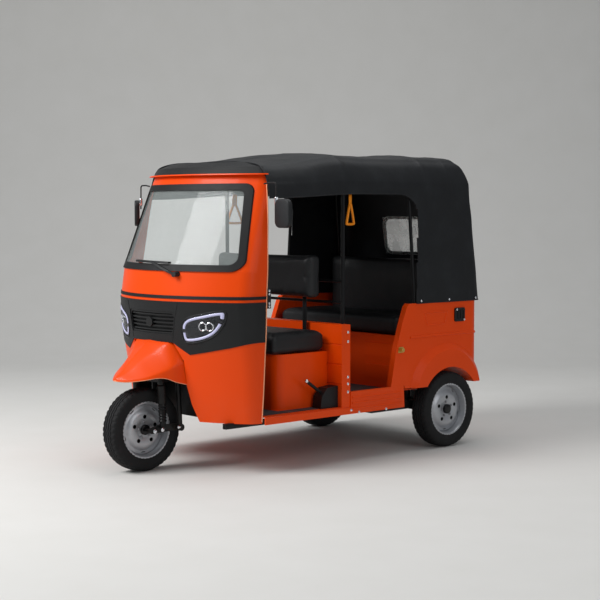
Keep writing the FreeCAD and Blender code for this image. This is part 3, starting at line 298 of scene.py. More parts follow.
# %% [markdown]
# ## The finishes
#
# Gloss paint is a rough colour under a thin clear coat. The very fine ripple of sprayed
# paint, called orange peel, shows only in its reflections. Road dust gathers low down, so the
# dust's share grows towards the ground.

# %% Painted metal


def painted(name, slot, tint, rough=0.42, coat=0.08, dust=0.05):
    """Sprayed gloss paint with orange peel and a little dust low down."""
    f = Finish(name, slot)
    height = f.place.part("Z")
    clouds = f.noise(6, 5, 0.6)
    dusty = (1 - height.above(0.26, 0.62)) * clouds.above(0.35, 0.75) * dust
    shade = f.mix(f.noise(2.3, 2), tuple(c * 0.93 for c in tint[:3]) + (1,), tint)
    f.surface(base_color=f.mix(dusty, shade, colour(150, 132, 112)),
              roughness=f.noise(14, 4) * 0.08 + dusty * 0.6 + (rough - 0.04),
              coat_weight=(1 - dusty) * coat, coat_roughness=0.1, specular_ior_level=0.15,
              normal=f.relief(f.noise(210, 2), 0.0004, 0.5))
    return f.material


orange_paint = painted("orange_paint", "orange_paint", colour(230, 70, 0))
# The beads' pale peach is partly a painted highlight along the folded edges they cover.
bead_painted_highlight = painted("bead_painted_highlight", "orange_paint", colour(246, 168, 128), coat=0.1, dust=0.1)
black_paint = painted("black_paint", "black_paint", colour(17, 18, 19), rough=0.45, coat=0.15)

# %% [markdown]
# Moulded plastic and rubber have no coat. What tells them apart is the size of their grain and
# how widely they scatter a highlight, so one function makes both from three numbers.

# %% Plastics and rubber


def moulded(name, slot, tint, rough, grain, depth=0.0003, wear=0.15):
    """A moulded surface with a pebbled grain, slightly paler where it is rubbed."""
    f = Finish(name, slot)
    pebbles = f.node("ShaderNodeTexVoronoi",
                     inputs={"Vector": f.place, "Scale": grain})["Distance"]
    rubbed = f.noise(9, 4, 0.65).above(0.52, 0.78) * wear
    paler = tuple(min(1, c * 2.2 + 0.006) for c in tint[:3]) + (1,)
    f.surface(base_color=f.mix(rubbed, tint, paler),
              roughness=f.noise(22, 3) * 0.14 + (rough - 0.07), specular_ior_level=0.3,
              normal=f.relief(pebbles, depth, 0.5))
    return f.material


black_plastic = moulded("black_plastic", "black_plastic", colour(20, 21, 22), 0.5, 900)
lamp_black = moulded("lamp_black", "black_plastic", colour(12, 12, 14), 0.22, 300, wear=0)
rubber = moulded("black_rubber", "rubber", colour(15, 15, 16), 0.62, 500, wear=0.1)
tyre_rubber = moulded("tyre_rubber", "tyre", colour(22, 22, 23), 0.78, 420, wear=0.35)
mirror_plastic = moulded("mirror_plastic", "mirror_shell", colour(24, 26, 28), 0.5, 900)
strap_plastic = moulded("strap_plastic", "strap", colour(240, 140, 12), 0.42, 700, wear=0.08)
mat_rubber = moulded("mat_rubber", "mat_rubber", colour(62, 62, 64), 0.72, 350, wear=0.4)
red_plastic = moulded("red_lens", "red_lens", colour(170, 8, 6), 0.16, 250, 0.0006, wear=0)

# %% [markdown]
# The wheels are sprayed silver, which is a metallic paint rather than bare metal: fairly rough,
# a little patchy, and darker where brake dust settles. Castings are duller and coarser.

# %% Bare and silver metals


def metal(name, slot, tint, rough, metallic, grain, depth, grime=0.3):
    """A metal surface with patchy grime and a rough skin."""
    f = Finish(name, slot)
    dirt = f.noise(11, 5, 0.7).above(0.45, 0.8) * grime
    f.surface(base_color=f.mix(dirt, tint, tuple(c * 0.3 for c in tint[:3]) + (1,)),
              roughness=dirt * 0.4 + rough + f.noise(60, 2) * 0.08,
              metallic=(1 - dirt) * metallic,
              normal=f.relief(f.noise(grain, 3), depth, 0.6))
    return f.material


wheel_silver = metal("wheel_silver", "steel", colour(176, 178, 182), 0.34, 0.75, 300, 0.0004)
bare_steel = metal("bare_steel", "steel", colour(150, 150, 154), 0.38, 0.9, 220, 0.0003, 0.5)
cast_metal = metal("cast_metal", "cast", colour(96, 96, 98), 0.6, 0.6, 160, 0.0012, 0.5)
plated_brass = metal("plated_brass", "brass", colour(214, 178, 96), 0.28, 0.9, 260, 0.0003)
chrome = metal("chrome", "steel", colour(232, 234, 238), 0.07, 1.0, 60, 0.0001, 0.05)

# %% [markdown]
# Glass needs no pattern of its own, but real panes are never clean. A faint, cloudy film of
# dust makes the pane a little less clear in places.

# %% Glass and clear film


def clear(name, slot, tint, rough, haze, wrinkles=0.0, see=0.1):
    """Clear glass or film: mostly see-through, glossy, with a thin haze."""
    f = Finish(name, slot)
    haze_map = f.noise(5, 5, 0.7).above(0.3, 0.9) * haze + haze * 0.5
    f.surface(base_color=tint, roughness=rough, alpha=haze_map + see, ior=1.45)
    if wrinkles:
        f.surface(normal=f.relief(f.noise(26, 3, stretch=(1, 1, 0.35)), wrinkles))
    return f.material


thread_white = moulded("thread_white", "film", colour(215, 215, 210), 0.7, 900, wear=0)
light_guide = moulded("light_guide", "lamp", colour(206, 206, 240), 0.22, 400, wear=0)
clear_glass = clear("clear_glass", "glass", colour(205, 214, 212), 0.03, 0.07)
clear_film = clear("clear_film", "film", colour(200, 204, 200), 0.16, 0.35, 0.012)
lens_glass = clear("lens_glass", "lamp", colour(120, 124, 132), 0.03, 0.01, see=0.04)

# %% [markdown]
# Seat vinyl has a leather-like crease pattern pressed into it, and the canopy is a canvas with
# a rubbery coat, so its weave only just shows. Both catch a broad, soft sheen.

# %% Vinyl and coated canvas


def vinyl():
    """Black seat vinyl with pressed creases."""
    f = Finish("seat_vinyl", "vinyl")
    cells = f.node("ShaderNodeTexVoronoi", {"feature": "DISTANCE_TO_EDGE"},
                   {"Vector": f.place, "Scale": 330})["Distance"]
    creases = f.relief(cells, 0.0008, 0.55)
    f.surface(base_color=f.mix(f.noise(8, 4), colour(18, 19, 20), colour(27, 28, 30)),
              roughness=f.noise(18, 3) * 0.16 + 0.4, specular_ior_level=0.35,
              normal=f.relief(f.noise(17, 3, 0.6), 0.004, 0.5, under=creases))
    return f.material


def canvas():
    """Coated canvas: a fine weave, broad creases, painted shade in their hollows, painted sheen on
    tops.
    """
    f = Finish("coated_canvas", "hood")
    across, along = (f.node("ShaderNodeTexWave", {"bands_direction": way}, {
        "Vector": f.place, "Scale": 95, "Distortion": 0.4})["Fac"] for way in ("X", "Z"))
    weave = f.relief(across * along, 0.0004, 0.3)
    broad = f.noise(7, 5, 0.62)
    # Painted shade and sheen: the colour is darker in the creases' hollows and paler on their tops.
    f.surface(base_color=f.mix(broad.above(0.4, 0.8), colour(17, 19, 22), colour(27, 30, 33)),
              roughness=broad * 0.16 + 0.5, specular_ior_level=0.3,
              normal=f.relief(broad, 0.010, 0.4, under=weave))
    return f.material


seat_vinyl = vinyl()
coated_canvas = canvas()

# %% Floor and world
floor_finish = Finish("studio_paper", "")
floor_finish.surface(
    base_color=floor_finish.mix(floor_finish.noise(3, 4), colour(202, 201, 197),
                                colour(208, 207, 204)),
    roughness=0.85)
backdrop.data.materials.append(floor_finish.material)

world = bpy.data.worlds.new("studio")
world.use_nodes = True
world.node_tree.nodes["Background"].inputs["Color"].default_value = colour(226, 230, 236)
world.node_tree.nodes["Background"].inputs["Strength"].default_value = 0.34
bpy.context.scene.world = world
bpy.context.scene.view_settings.view_transform = "Standard"

# %% [markdown]
# ## Finishing the solids
#
# Most solids keep their shape and only need the right skin. The table names them by finish.

# %% Give every solid its finish
FINISHES = {
    "orange_paint": (orange_paint, [
        "cab_upper_panel", "leg_shield", "front_beak", "floor_pan", "side_sills", "partition",
        "driver_seat_base", "passenger_seat_base", "rear_quarter_left", "rear_quarter_right",
        "rear_panel", "engine_lid"]),
    "black_paint": (black_paint, [
        "wheel_well", "rear_bumper", "canopy_frame", "chassis_frame", "trailing_arms",
        "rear_dampers", "fork", "leading_links", "front_shocks"]),
    "black_plastic": (black_plastic, [
        "front_mask", "front_grille", "wiper", "roof_cap", "dashboard", "side_vents",
        "brake_lever", "handlebar"]),
    "rubber": (rubber, ["belt_strip", "windscreen_seal"]),
    "mirror": (mirror_plastic, ["mirrors"]),
    "mats": (mat_rubber, ["floor_mats"]),
    "glass": (clear_glass, ["windscreen_glass"]),
    "film": (clear_film, ["canopy_window"]),
    "lamp": (lens_glass, ["headlamps"]),
    "red": (red_plastic, ["tail_lamps"]),
    "vinyl": (seat_vinyl, ["driver_seat_cushion", "driver_backrest", "passenger_seat_cushion",
                           "passenger_backrest"]),
    "canvas": (coated_canvas, ["canopy"]),
    "silver": (wheel_silver, ["front_rim", "rear_rim_left", "rear_rim_right"]),
    "steel": (bare_steel, ["half_shafts", "exhaust"]),
    "cast": (cast_metal, ["engine_block"]),
    "tyres": (tyre_rubber, ["front_tyre", "rear_tyre_left", "rear_tyre_right"]),
    "strap": (strap_plastic, ["strap_handles"]),
    "brass": (plated_brass, ["side_catches"]),
}

for material, names in FINISHES.values():
    for name in names:
        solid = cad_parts[name]
        solid.data.materials.clear()
        solid.data.materials.append(material)
        deselect()
        solid.select_set(True)
        bpy.context.view_layer.objects.active = solid
        bpy.ops.object.shade_smooth_by_angle(angle=math.radians(32))
finished = sum(len(names) for _, names in FINISHES.values())
print(finished, "of", len(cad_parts), "solids finished")

# %% [markdown]
# ## Tools for new pieces
#
# Every new piece ends in the same way: its place is baked into its mesh, its smooth faces are
# told apart from its sharp edges, and it is told which body carries it. A modifier is added and
# applied in one step, because the finished piece should hold plain faces.

# %% Finish a piece


def only(piece):
    """Makes one piece the selected and active one."""
    deselect()
    piece.select_set(True)
    bpy.context.view_layer.objects.active = piece
    return piece


def modify(piece, kind, **settings):
    """Adds a modifier with its settings and applies it."""
    only(piece)
    modifier = piece.modifiers.new(kind.lower(), kind)
    for key, setting in settings.items():
        setattr(modifier, key, setting)
    bpy.ops.object.modifier_apply(modifier=modifier.name)


def settle(piece, name, material, body="body", smooth=35):
    """Puts a piece in its place, smooths it, finishes it and lets it ride on its body."""
    only(piece)
    bpy.ops.object.transform_apply(location=True, rotation=True, scale=True)
    piece.location = AXLE
    bpy.ops.object.transform_apply(location=True, rotation=False, scale=False)
    bpy.ops.object.shade_smooth_by_angle(angle=math.radians(smooth))
    piece.name = piece.data.name = name
    piece.data.materials.clear()
    piece.data.materials.append(material)
    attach(piece, body)
    return piece


def points_of(piece):
    """The corners of a piece's mesh as rows of x, y, z."""
    found = np.empty(len(piece.data.vertices) * 3)
    piece.data.vertices.foreach_get("co", found)
    return found.reshape(-1, 3)


def move_points(piece, rows):
    """Puts the corners of a piece's mesh at new places."""
    piece.data.vertices.foreach_set("co", np.asarray(rows, float).ravel())
    piece.data.update()


# %% [markdown]
# ## The canopy
#
# The hood is a single sheet of coated canvas. It hangs straight down to the body at the back
# and sides, turns over the cant rails and is pulled tight across the hoops. Cloth simulation
# would need every strap and tube to hold it up, and a taut cover hardly moves, so the sheet is
# laid out instead: one line runs round the hem, and one profile climbs from the hem to
# the ridge. The profile changes on the way round, because the back leans in and the front
# fits over the moulded cap.

# %% The canopy's lines
HEM_HALF, HEM_REAR, HEM_CORNER = 0.632, -0.332, 0.075
HEM_FRONT, RIDGE_END = 1.484, 0.22
CLOTH_STEP = 0.015

# Each profile climbs from the hem to the ridge: distance in from the hem's line, height
SIDE_PROFILE = [(0, 0.945), (0.020, 1.25), (0.046, 1.643), (0.056, 1.726), (0.091, 1.809),
                (0.131, 1.843), (0.181, 1.868), (0.35, 1.884), (0.632, 1.890)]
REAR_PROFILE = [(0, 0.945), (0.034, 1.25), (0.092, 1.588), (0.119, 1.66), (0.169, 1.755),
                (0.219, 1.820), (0.276, 1.857), (0.41, 1.880), (0.632, 1.890)]
FRONT_PROFILE = [(0, 0.945), (0.020, 1.25), (0.050, 1.62), (0.070, 1.70), (0.092, 1.745),
                 (0.118, 1.777), (0.17, 1.803), (0.33, 1.820), (0.632, 1.824)]
HOOPS = (0.875, 0.16, -0.055)

# How far the cloth stands out over its hoops, sags between them, is puckered at the hem,
# waves at random and is pulled into slanting folds, in metres
HOOP_PROUD, SAG, PUCKER, WAVES, FOLDS = 0.004, 0.009, 0.003, 0.0045, 0.0016
SNAP_PITCH = 0.27

# The doorway's rear top corner is a quarter of an ellipse
DOOR_CORNER_X, DOOR_CORNER_Z, DOOR_CORNER_WIDE, DOOR_CORNER_TALL = 0.416, 1.492, 0.168, 0.141
POST_FOOT, POST_LEAN, EAVE_DROP = 0.300, 0.095, 0.030
HEM_HEIGHT = SIDE_PROFILE[0][1]
BACK_ZONE = -0.18  # the back wall lies behind this


def ease(value, low, high):
    """0 below low, 1 above high, with soft ends. It works on whole arrays."""
    share = np.clip((np.asarray(value, float) - low) / (high - low), 0, 1)
    return share * share * (3 - 2 * share)


def through(knots, count_per_metre):
    """A smooth curve through knots (Catmull-Rom), as evenly spaced rows."""
    knots = np.array(knots, float)
    ends = np.vstack([2 * knots[0] - knots[1], knots, 2 * knots[-1] - knots[-2]])
    rows = []
    for i in range(1, len(ends) - 2):
        a, b, c, d = ends[i - 1:i + 3]
        steps = max(2, round(np.linalg.norm(c - b) * count_per_metre))
        for t in np.arange(steps) / steps:
            rows.append(0.5 * (2 * b + (c - a) * t + (2 * a - 5 * b + 4 * c - d) * t * t
                               + (3 * b - a - 3 * c + d) * t ** 3))
    return np.array(rows + [knots[-1]])


def profile_steps(profile):
    """A profile at the same number of rows as the side's, so that they can be mixed."""
    counts = [round(math.dist(a, b) / CLOTH_STEP) for a, b in zip(SIDE_PROFILE, SIDE_PROFILE[1:])]
    fine = through(profile, 400)
    knots = [int(np.argmin(np.linalg.norm(fine - k, axis=1))) for k in np.array(profile)]
    stations = np.concatenate([np.linspace(a, b, n, endpoint=False)
                               for a, b, n in zip(knots, knots[1:], counts)] + [[knots[-1]]])
    return np.stack([np.interp(stations, np.arange(len(fine)), fine[:, i]) for i in (0, 1)], 1)


def hem_line():
    """Points round the hem from the front left to the front right, with their outward sides."""
    side = np.arange(HEM_FRONT, HEM_REAR + HEM_CORNER, -CLOTH_STEP)
    rows = [((x, HEM_HALF), (0, 1)) for x in side]
    for angle in np.linspace(90, 180, 11):
        out = (math.cos(math.radians(angle)), math.sin(math.radians(angle)))
        rows.append(((HEM_REAR + HEM_CORNER + HEM_CORNER * out[0],
                      HEM_HALF - HEM_CORNER + HEM_CORNER * out[1]), out))
    across = np.arange(HEM_HALF - HEM_CORNER - CLOTH_STEP, 0.001, -CLOTH_STEP)
    rows += [((HEM_REAR, y), (-1, 0)) for y in across]
    mirrored = [((x, -y), (ox, -oy)) for (x, y), (ox, oy) in reversed(rows)]
    return rows + [((HEM_REAR, 0), (-1, 0))] + mirrored


line = hem_line()
profiles = [profile_steps(p) for p in (SIDE_PROFILE, REAR_PROFILE, FRONT_PROFILE)]
print(len(line), "columns round the hem and", len(profiles[0]), "rows up to the ridge")

# %% [markdown]
# A grid primitive has the right number of corners, and each is then put on the cloth. The sheet
# would be lifeless without wrinkles: it sags a little between hoops, stands proud over them,
# is puckered along the hem between its studs, and has long soft folds where it is pulled.

# %% Lay the sheet out


def cloth_point(column, row):
    """The place of one corner of the canopy's grid, before any wrinkles."""
    (x, y), out = line[column]
    inward = Vector((max(x, RIDGE_END) - x, -y))
    reach = inward.length
    rear, front = out[0] ** 2, float(ease(x, HOOPS[0], HEM_FRONT))
    weights = (1 - rear - front * (1 - rear), rear, front * (1 - rear))
    inset = sum(w * p[row][0] for w, p in zip(weights, profiles))
    height = sum(w * p[row][1] for w, p in zip(weights, profiles))
    inset += (reach - HEM_HALF) * float(ease(inset, 0, HEM_HALF))
    place = Vector((x, y)) + inward.normalized() * inset
    return place.x, place.y, height


def wrinkles(x, y, z):
    """How far the cloth stands out from its taut shape, in metres."""
    roof = ease(z, 1.70, 1.84)
    bows = sum(np.exp(-((x - hoop) / 0.014) ** 2) for hoop in HOOPS) * ease(z, 1.55, 1.70)
    gaps = np.sin(np.clip((x - HOOPS[1]) / (HOOPS[0] - HOOPS[1]), 0, 1) * math.pi)
    front_gap = np.sin(np.clip((x - HOOPS[0]) / (HEM_FRONT - HOOPS[0]), 0, 1) * math.pi)
    around = x + np.where(x < -0.2, y, 0)
    hem = np.cos(around * 2 * math.pi / SNAP_PITCH) * (1 - ease(z, 0.95, 1.10))
    soft = np.array([noise.fractal(Vector((a * 3.0, b * 3.0 + 7 * (b > 0), c * 1.6)), 0.7, 2.0, 3)
                     for a, b, c in zip(x, y, z)])
    pull = np.sin((z * 1.0 + x * 0.8) * 26) * (1 - ease(x, -0.12, 0.12)) * ease(z, 1.3, 1.6)
    return (HOOP_PROUD * bows - SAG * roof * (gaps + front_gap) + PUCKER * hem + WAVES * soft
            + FOLDS * pull)


def door_edge(x, z):
    """The nearest point of the doorway's edge, and whether (x, z) lies inside the doorway."""
    corner_x, corner_z, wide, tall = (DOOR_CORNER_X, DOOR_CORNER_Z, DOOR_CORNER_WIDE,
                                      DOOR_CORNER_TALL)
    if z < corner_z and x < corner_x:
        post = POST_FOOT - (z - HEM_HEIGHT) * POST_LEAN
        return (post, z), x > post
    if x < corner_x:
        turn = math.atan2((z - corner_z) / tall, (corner_x - x) / wide)
        near = (corner_x - wide * math.cos(turn), corner_z + tall * math.sin(turn))
        return near, ((corner_x - x) / wide) ** 2 + ((z - corner_z) / tall) ** 2 < 1
    eave = corner_z + tall - EAVE_DROP * float(ease(x, corner_x + 0.3, HEM_FRONT))
    return (x, eave), z < eave


WINDOW_HALF, WINDOW_LOW, WINDOW_HIGH, WINDOW_CORNER = 0.215, 1.245, 1.475, 0.05


def window_edge(y, z, grow=0.0):
    """The nearest point of the rear window's edge, and whether (y, z) lies inside it."""
    half, tall = WINDOW_HALF + grow, (WINDOW_HIGH - WINDOW_LOW) / 2 + grow
    corner, mid = WINDOW_CORNER + grow, (WINDOW_HIGH + WINDOW_LOW) / 2
    core = Vector((max(-half + corner, min(half - corner, y)),
                   max(-tall + corner, min(tall - corner, z - mid))))
    away = Vector((y, z - mid)) - core
    if away.length < 1e-9:
        return (y, z), True
    edge = core + away.normalized() * corner
    return (edge.x, edge.y + mid), away.length < corner


columns, rows = len(line), len(profiles[0])
deselect()
bpy.ops.mesh.primitive_grid_add(x_subdivisions=columns - 1, y_subdivisions=rows - 1, size=2)
canopy = bpy.context.object
flat_grid = points_of(canopy)
laid = np.empty_like(flat_grid)
for i, (u, v, _) in enumerate(flat_grid):
    laid[i] = cloth_point(round((u + 1) / 2 * (columns - 1)), round((v + 1) / 2 * (rows - 1)))
move_points(canopy, laid)
only(canopy)
bpy.ops.object.mode_set(mode="EDIT")
bpy.ops.mesh.select_all(action="SELECT")
bpy.ops.mesh.remove_doubles(threshold=0.0005)
bpy.ops.mesh.normals_make_consistent(inside=False)
choose("faces", lambda f: abs(middle(f).y) > 0.4
       and door_edge(middle(f).x, middle(f).z)[1])
bpy.ops.mesh.delete(type="FACE")
choose("faces", lambda f: middle(f).x < BACK_ZONE and window_edge(middle(f).y, middle(f).z)[1])
bpy.ops.mesh.delete(type="FACE")
deselect()
print("canopy has", len(canopy.data.polygons), "faces")

# %% Trim the edges and let the cloth relax


def trim_to(piece):
    """Moves the corners on the cut edges onto the doorway's and the window's true lines."""
    mesh = bmesh.new()
    mesh.from_mesh(piece.data)
    for vert in mesh.verts:
        if not vert.is_boundary:
            continue
        x, y, z = vert.co
        if x < BACK_ZONE and abs(y) < 0.25 and 1.2 < z < 1.5:
            (vert.co.y, vert.co.z), _ = window_edge(y, z)
        elif 0.29 < x < HEM_FRONT - 0.01 and abs(y) > 0.4 and z > HEM_HEIGHT + 0.005:
            (vert.co.x, vert.co.z), _ = door_edge(x, z)
    mesh.to_mesh(piece.data)
    mesh.free()


trim_to(canopy)
normals = np.empty(len(canopy.data.vertices) * 3)
canopy.data.vertices.foreach_get("normal", normals)
taut = points_of(canopy)
out = wrinkles(taut[:, 0], taut[:, 1], taut[:, 2])
relaxed = taut + normals.reshape(-1, 3) * out[:, None]
move_points(canopy, relaxed)
print("cloth stands", round(out.min() * 1000, 1), "to", round(out.max() * 1000, 1), "mm off taut")

# %% Bind the canopy's edges


def edge_cord(piece, test, radius, name):
    """A round binding along the loose edges of a sheet that pass the test."""
    only(piece)
    bpy.ops.object.mode_set(mode="EDIT")
    choose("edges", lambda e: e.is_boundary and test(middle(e)))
    bpy.ops.mesh.duplicate()
    bpy.ops.mesh.separate(type="SELECTED")
    bpy.ops.object.mode_set(mode="OBJECT")
    ring = next(o for o in bpy.context.selected_objects if o != piece)
    only(ring)
    bpy.ops.object.convert(target="CURVE")
    ring.data.bevel_depth = radius
    ring.data.bevel_resolution = 2
    bpy.ops.object.convert(target="MESH")
    return settle(ring, name, coated_canvas, smooth=60)


binding = edge_cord(canopy, lambda m: True, 0.0035, "canopy_binding")
modify(canopy, "SOLIDIFY", thickness=0.0022, offset=-1)
settle(canopy, "canopy_cloth", coated_canvas, smooth=60)
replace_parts(canopy, "canopy")

# %% [markdown]
# The rear window is clear film sewn into the cloth. It is never quite flat: it ripples where
# the canvas pulls it, and those ripples are what makes it look like film and not like glass.

# %% Sew in the window
FILM_SEAM, FILM_INSIDE, RIPPLE = 0.012, 0.004, 0.003


def back_x(z):
    """How far back the canopy's rear wall is at a height."""
    rear = profiles[1]
    return HEM_REAR + float(np.interp(z, rear[:, 1], rear[:, 0]))


deselect()
bpy.ops.mesh.primitive_grid_add(x_subdivisions=60, y_subdivisions=36, size=2)
film = bpy.context.object
sheet = points_of(film)
spread_y = sheet[:, 0] * (WINDOW_HALF + FILM_SEAM)
spread_z = (WINDOW_LOW + WINDOW_HIGH) / 2
spread_z = spread_z + sheet[:, 1] * ((WINDOW_HIGH - WINDOW_LOW) / 2 + FILM_SEAM)
ripple = [RIPPLE * noise.fractal(Vector((y * 16, z * 5, 3)), 0.8, 2.0, 3)
          for y, z in zip(spread_y, spread_z)]
move_points(film, [(back_x(z) + FILM_INSIDE + r, y, z)
                   for y, z, r in zip(spread_y, spread_z, ripple)])
modify(film, "SOLIDIFY", thickness=0.0006, offset=0)
settle(film, "window_film", clear_film, smooth=60)
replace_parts(film, "canopy_window")
print("film", len(film.data.polygons), "faces")

# %% [markdown]
# ## Stuffed seats
#
# A seat cushion is foam in a sewn cover, so it bulges most in the middle of each face and is
# held in at the seams. Blown up by a cloth simulation, a plain box takes exactly that shape.
# The simulation may only move each point a little, so the cushion keeps to its seat.

# %% Blow up a cushion
BLOW_FRAMES, PRESSURE, TAKEN_IN = 16, 4.0, 0.008


def stuffed(name, node, bulge, voxel, rest_below=True, grow=(0, 0, 0)):
    """A cushion on its solid, rounded and blown up. It may grow on all sides but the front."""
    low, high = span(node)
    low = low - Vector(grow)
    high = high + Vector((0, grow[1], grow[2]))
    deselect()
    bpy.ops.mesh.primitive_cube_add(size=1, location=(low + high) / 2)
    pad = bpy.context.object
    pad.scale = [b - a - 2 * TAKEN_IN for a, b in zip(low, high)]
    bpy.ops.object.transform_apply(location=True, rotation=True, scale=True)
    modify(pad, "BEVEL", width=0.03, segments=4)
    modify(pad, "REMESH", mode="VOXEL", voxel_size=voxel)
    before = points_of(pad)
    only(pad)
    cloth = pad.modifiers.new("blow", "CLOTH")
    cloth.settings.quality = 4
    cloth.settings.use_pressure = True
    cloth.settings.uniform_pressure_force = PRESSURE
    cloth.settings.effector_weights.gravity = 0
    cloth.point_cache.frame_start, cloth.point_cache.frame_end = 1, BLOW_FRAMES
    for step in range(1, BLOW_FRAMES + 1):
        bpy.context.scene.frame_set(step)
    bpy.ops.object.modifier_apply(modifier="blow")
    bpy.context.scene.frame_set(1)
    moved = points_of(pad) - before
    length = np.linalg.norm(moved, axis=1, keepdims=True)
    after = before + moved * np.minimum(1, bulge / np.maximum(length, 1e-9))
    if rest_below:
        after[:, 2] = np.maximum(after[:, 2], low.z)
    move_points(pad, after)
    modify(pad, "SUBSURF", levels=1, render_levels=1)
    settle(pad, name, seat_vinyl, smooth=70)
    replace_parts(pad, node)
    return pad


cushions = [
    stuffed("driver_cushion", "driver_seat_cushion", 0.014, 0.011, grow=(0, 0.015, 0)),
    stuffed("driver_back", "driver_backrest", 0.012, 0.011, rest_below=False,
            grow=(0.035, 0.05, 0.005)),
    stuffed("bench_cushion", "passenger_seat_cushion", 0.014, 0.013),
    stuffed("bench_back", "passenger_backrest", 0.014, 0.013),
]
print("cushions", [len(c.data.polygons) for c in cushions], "faces")

# %% [markdown]
# ## Beads, bars and fasteners
#
# A vehicle is full of small round things: trim beads, mirror bars, grab handles and dozens of
# bolt heads. A bead is a curve with a round section, turned into a mesh. A fastener is modelled
# once and copied to its places, and the copies are joined, so that a row of bolts is one piece.

# %% Tools for beads and fasteners


def tube(points, radius, name, material, body="body", loop=False, smooth=60):
    """A round bar or bead along points given from the rear axle."""
    deselect()
    bpy.ops.curve.primitive_nurbs_path_add()
    bar = bpy.context.object
    bar.data.splines.clear()
    spline = bar.data.splines.new("POLY")
    spline.points.add(len(points) - 1)
    for point, place in zip(spline.points, points):
        point.co = (*place, 1)
    spline.use_cyclic_u = loop
    bar.data.bevel_depth, bar.data.bevel_resolution = radius, 2
    bar.data.use_fill_caps = not loop
    bpy.ops.object.convert(target="MESH")
    return settle(bar, name, material, body, smooth)


def join_up(pieces):
    """Joins pieces into the first one and returns it."""
    deselect()
    for piece in pieces:
        piece.select_set(True)
    bpy.context.view_layer.objects.active = pieces[0]
    bpy.ops.object.join()
    return pieces[0]


def scatter(master, spots, name, material, body="body", smooth=60):
    """Copies of a small piece at places, its top towards each direction, joined into one."""
    copies = []
    for place, facing in spots:
        only(master)
        bpy.ops.object.duplicate()
        copy = bpy.context.object
        copy.location = place
        copy.rotation_euler = Vector(facing).to_track_quat("Z", "Y").to_euler()
        copies.append(copy)
    only(master)
    bpy.ops.object.delete()
    return settle(join_up(copies), name, material, body, smooth)


def bolt_head(radius, height, corners=6):
    """A fastener's head on its washer, standing on the plane z = 0."""
    parts = []
    for count, size, low, tall in ((16, radius * 1.45, 0, height * 0.25),
                                   (corners, radius, height * 0.25, height * 0.75)):
        deselect()
        bpy.ops.mesh.primitive_cylinder_add(vertices=count, radius=size, depth=tall,
                                            location=(0, 0, low + tall / 2))
        bpy.ops.object.transform_apply(location=True, rotation=True, scale=True)
        parts.append(bpy.context.object)
        modify(parts[-1], "BEVEL", width=tall * 0.3, segments=2, limit_method="ANGLE")
    return join_up(parts)


def twin(piece, name, body="body"):
    """A piece's mirror image on the other side of the vehicle, with its own mesh."""
    only(piece)
    bpy.ops.object.duplicate()
    other = bpy.context.object
    rows = points_of(other)
    rows[:, 1] = 2 * AXLE.y - rows[:, 1]
    move_points(other, rows)
    bpy.ops.object.mode_set(mode="EDIT")
    bpy.ops.mesh.select_all(action="SELECT")
    bpy.ops.mesh.flip_normals()
    bpy.ops.object.mode_set(mode="OBJECT")
    other.name = other.data.name = name
    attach(other, body)
    return other


def laid_grid(across, along, place):
    """A grid whose corner (i, j) is put at place(i, j), with doubles merged."""
    deselect()
    bpy.ops.mesh.primitive_grid_add(x_subdivisions=across - 1, y_subdivisions=along - 1, size=2)
    sheet = bpy.context.object
    move_points(sheet, [place(round((u + 1) / 2 * (across - 1)), round((v + 1) / 2 * (along - 1)))
                        for u, v, _ in points_of(sheet)])
    only(sheet)
    bpy.ops.object.mode_set(mode="EDIT")
    bpy.ops.mesh.select_all(action="SELECT")
    bpy.ops.mesh.remove_doubles(threshold=0.00005)
    bpy.ops.mesh.normals_make_consistent(inside=False)
    bpy.ops.object.mode_set(mode="OBJECT")
    return sheet


print("tools for beads, bars and fasteners are ready")

# %% [markdown]
# ## Tyres
#
# A tyre is a shape of revolution with a pattern cut into its tread. Spinning a profile would
# give plain grooves, but these run in a zigzag. So a grid is wrapped round the wheel instead:
# its rows are the lines across the tyre, and the rows at each groove's edges swing from side to
# side as they go round. The shoulder blocks get a notch at each turn of the zigzag.

# %% Wrap the tyres
TREAD_ROWS = [  # across from the middle, depth below the crown, share of the zigzag's swing
    (0.00, 0.0, 0.0), (0.13, 0.0, 1.0), (0.155, 0.006, 1.0), (0.215, 0.006, 1.0), (0.24, 0.0, 1.0),
    (0.43, 0.0, 1.0), (0.455, 0.006, 1.0), (0.515, 0.006, 1.0), (0.54, 0.0, 1.0), (0.66, 0.0, 0.5),
    (0.76, 0.001, 0.0), (0.85, 0.003, 0.0)]
WALL_ROWS = [  # across from the middle, share of the way down the sidewall
    (0.915, 0.10), (0.96, 0.20), (0.965, 0.22), (0.99, 0.34), (1.0, 0.48), (0.985, 0.62),
    (0.95, 0.75), (0.945, 0.77), (0.90, 0.88), (0.82, 0.96), (0.72, 1.0), (0.62, 0.99)]
ZIGZAGS, TREAD_STEPS = 44, 6


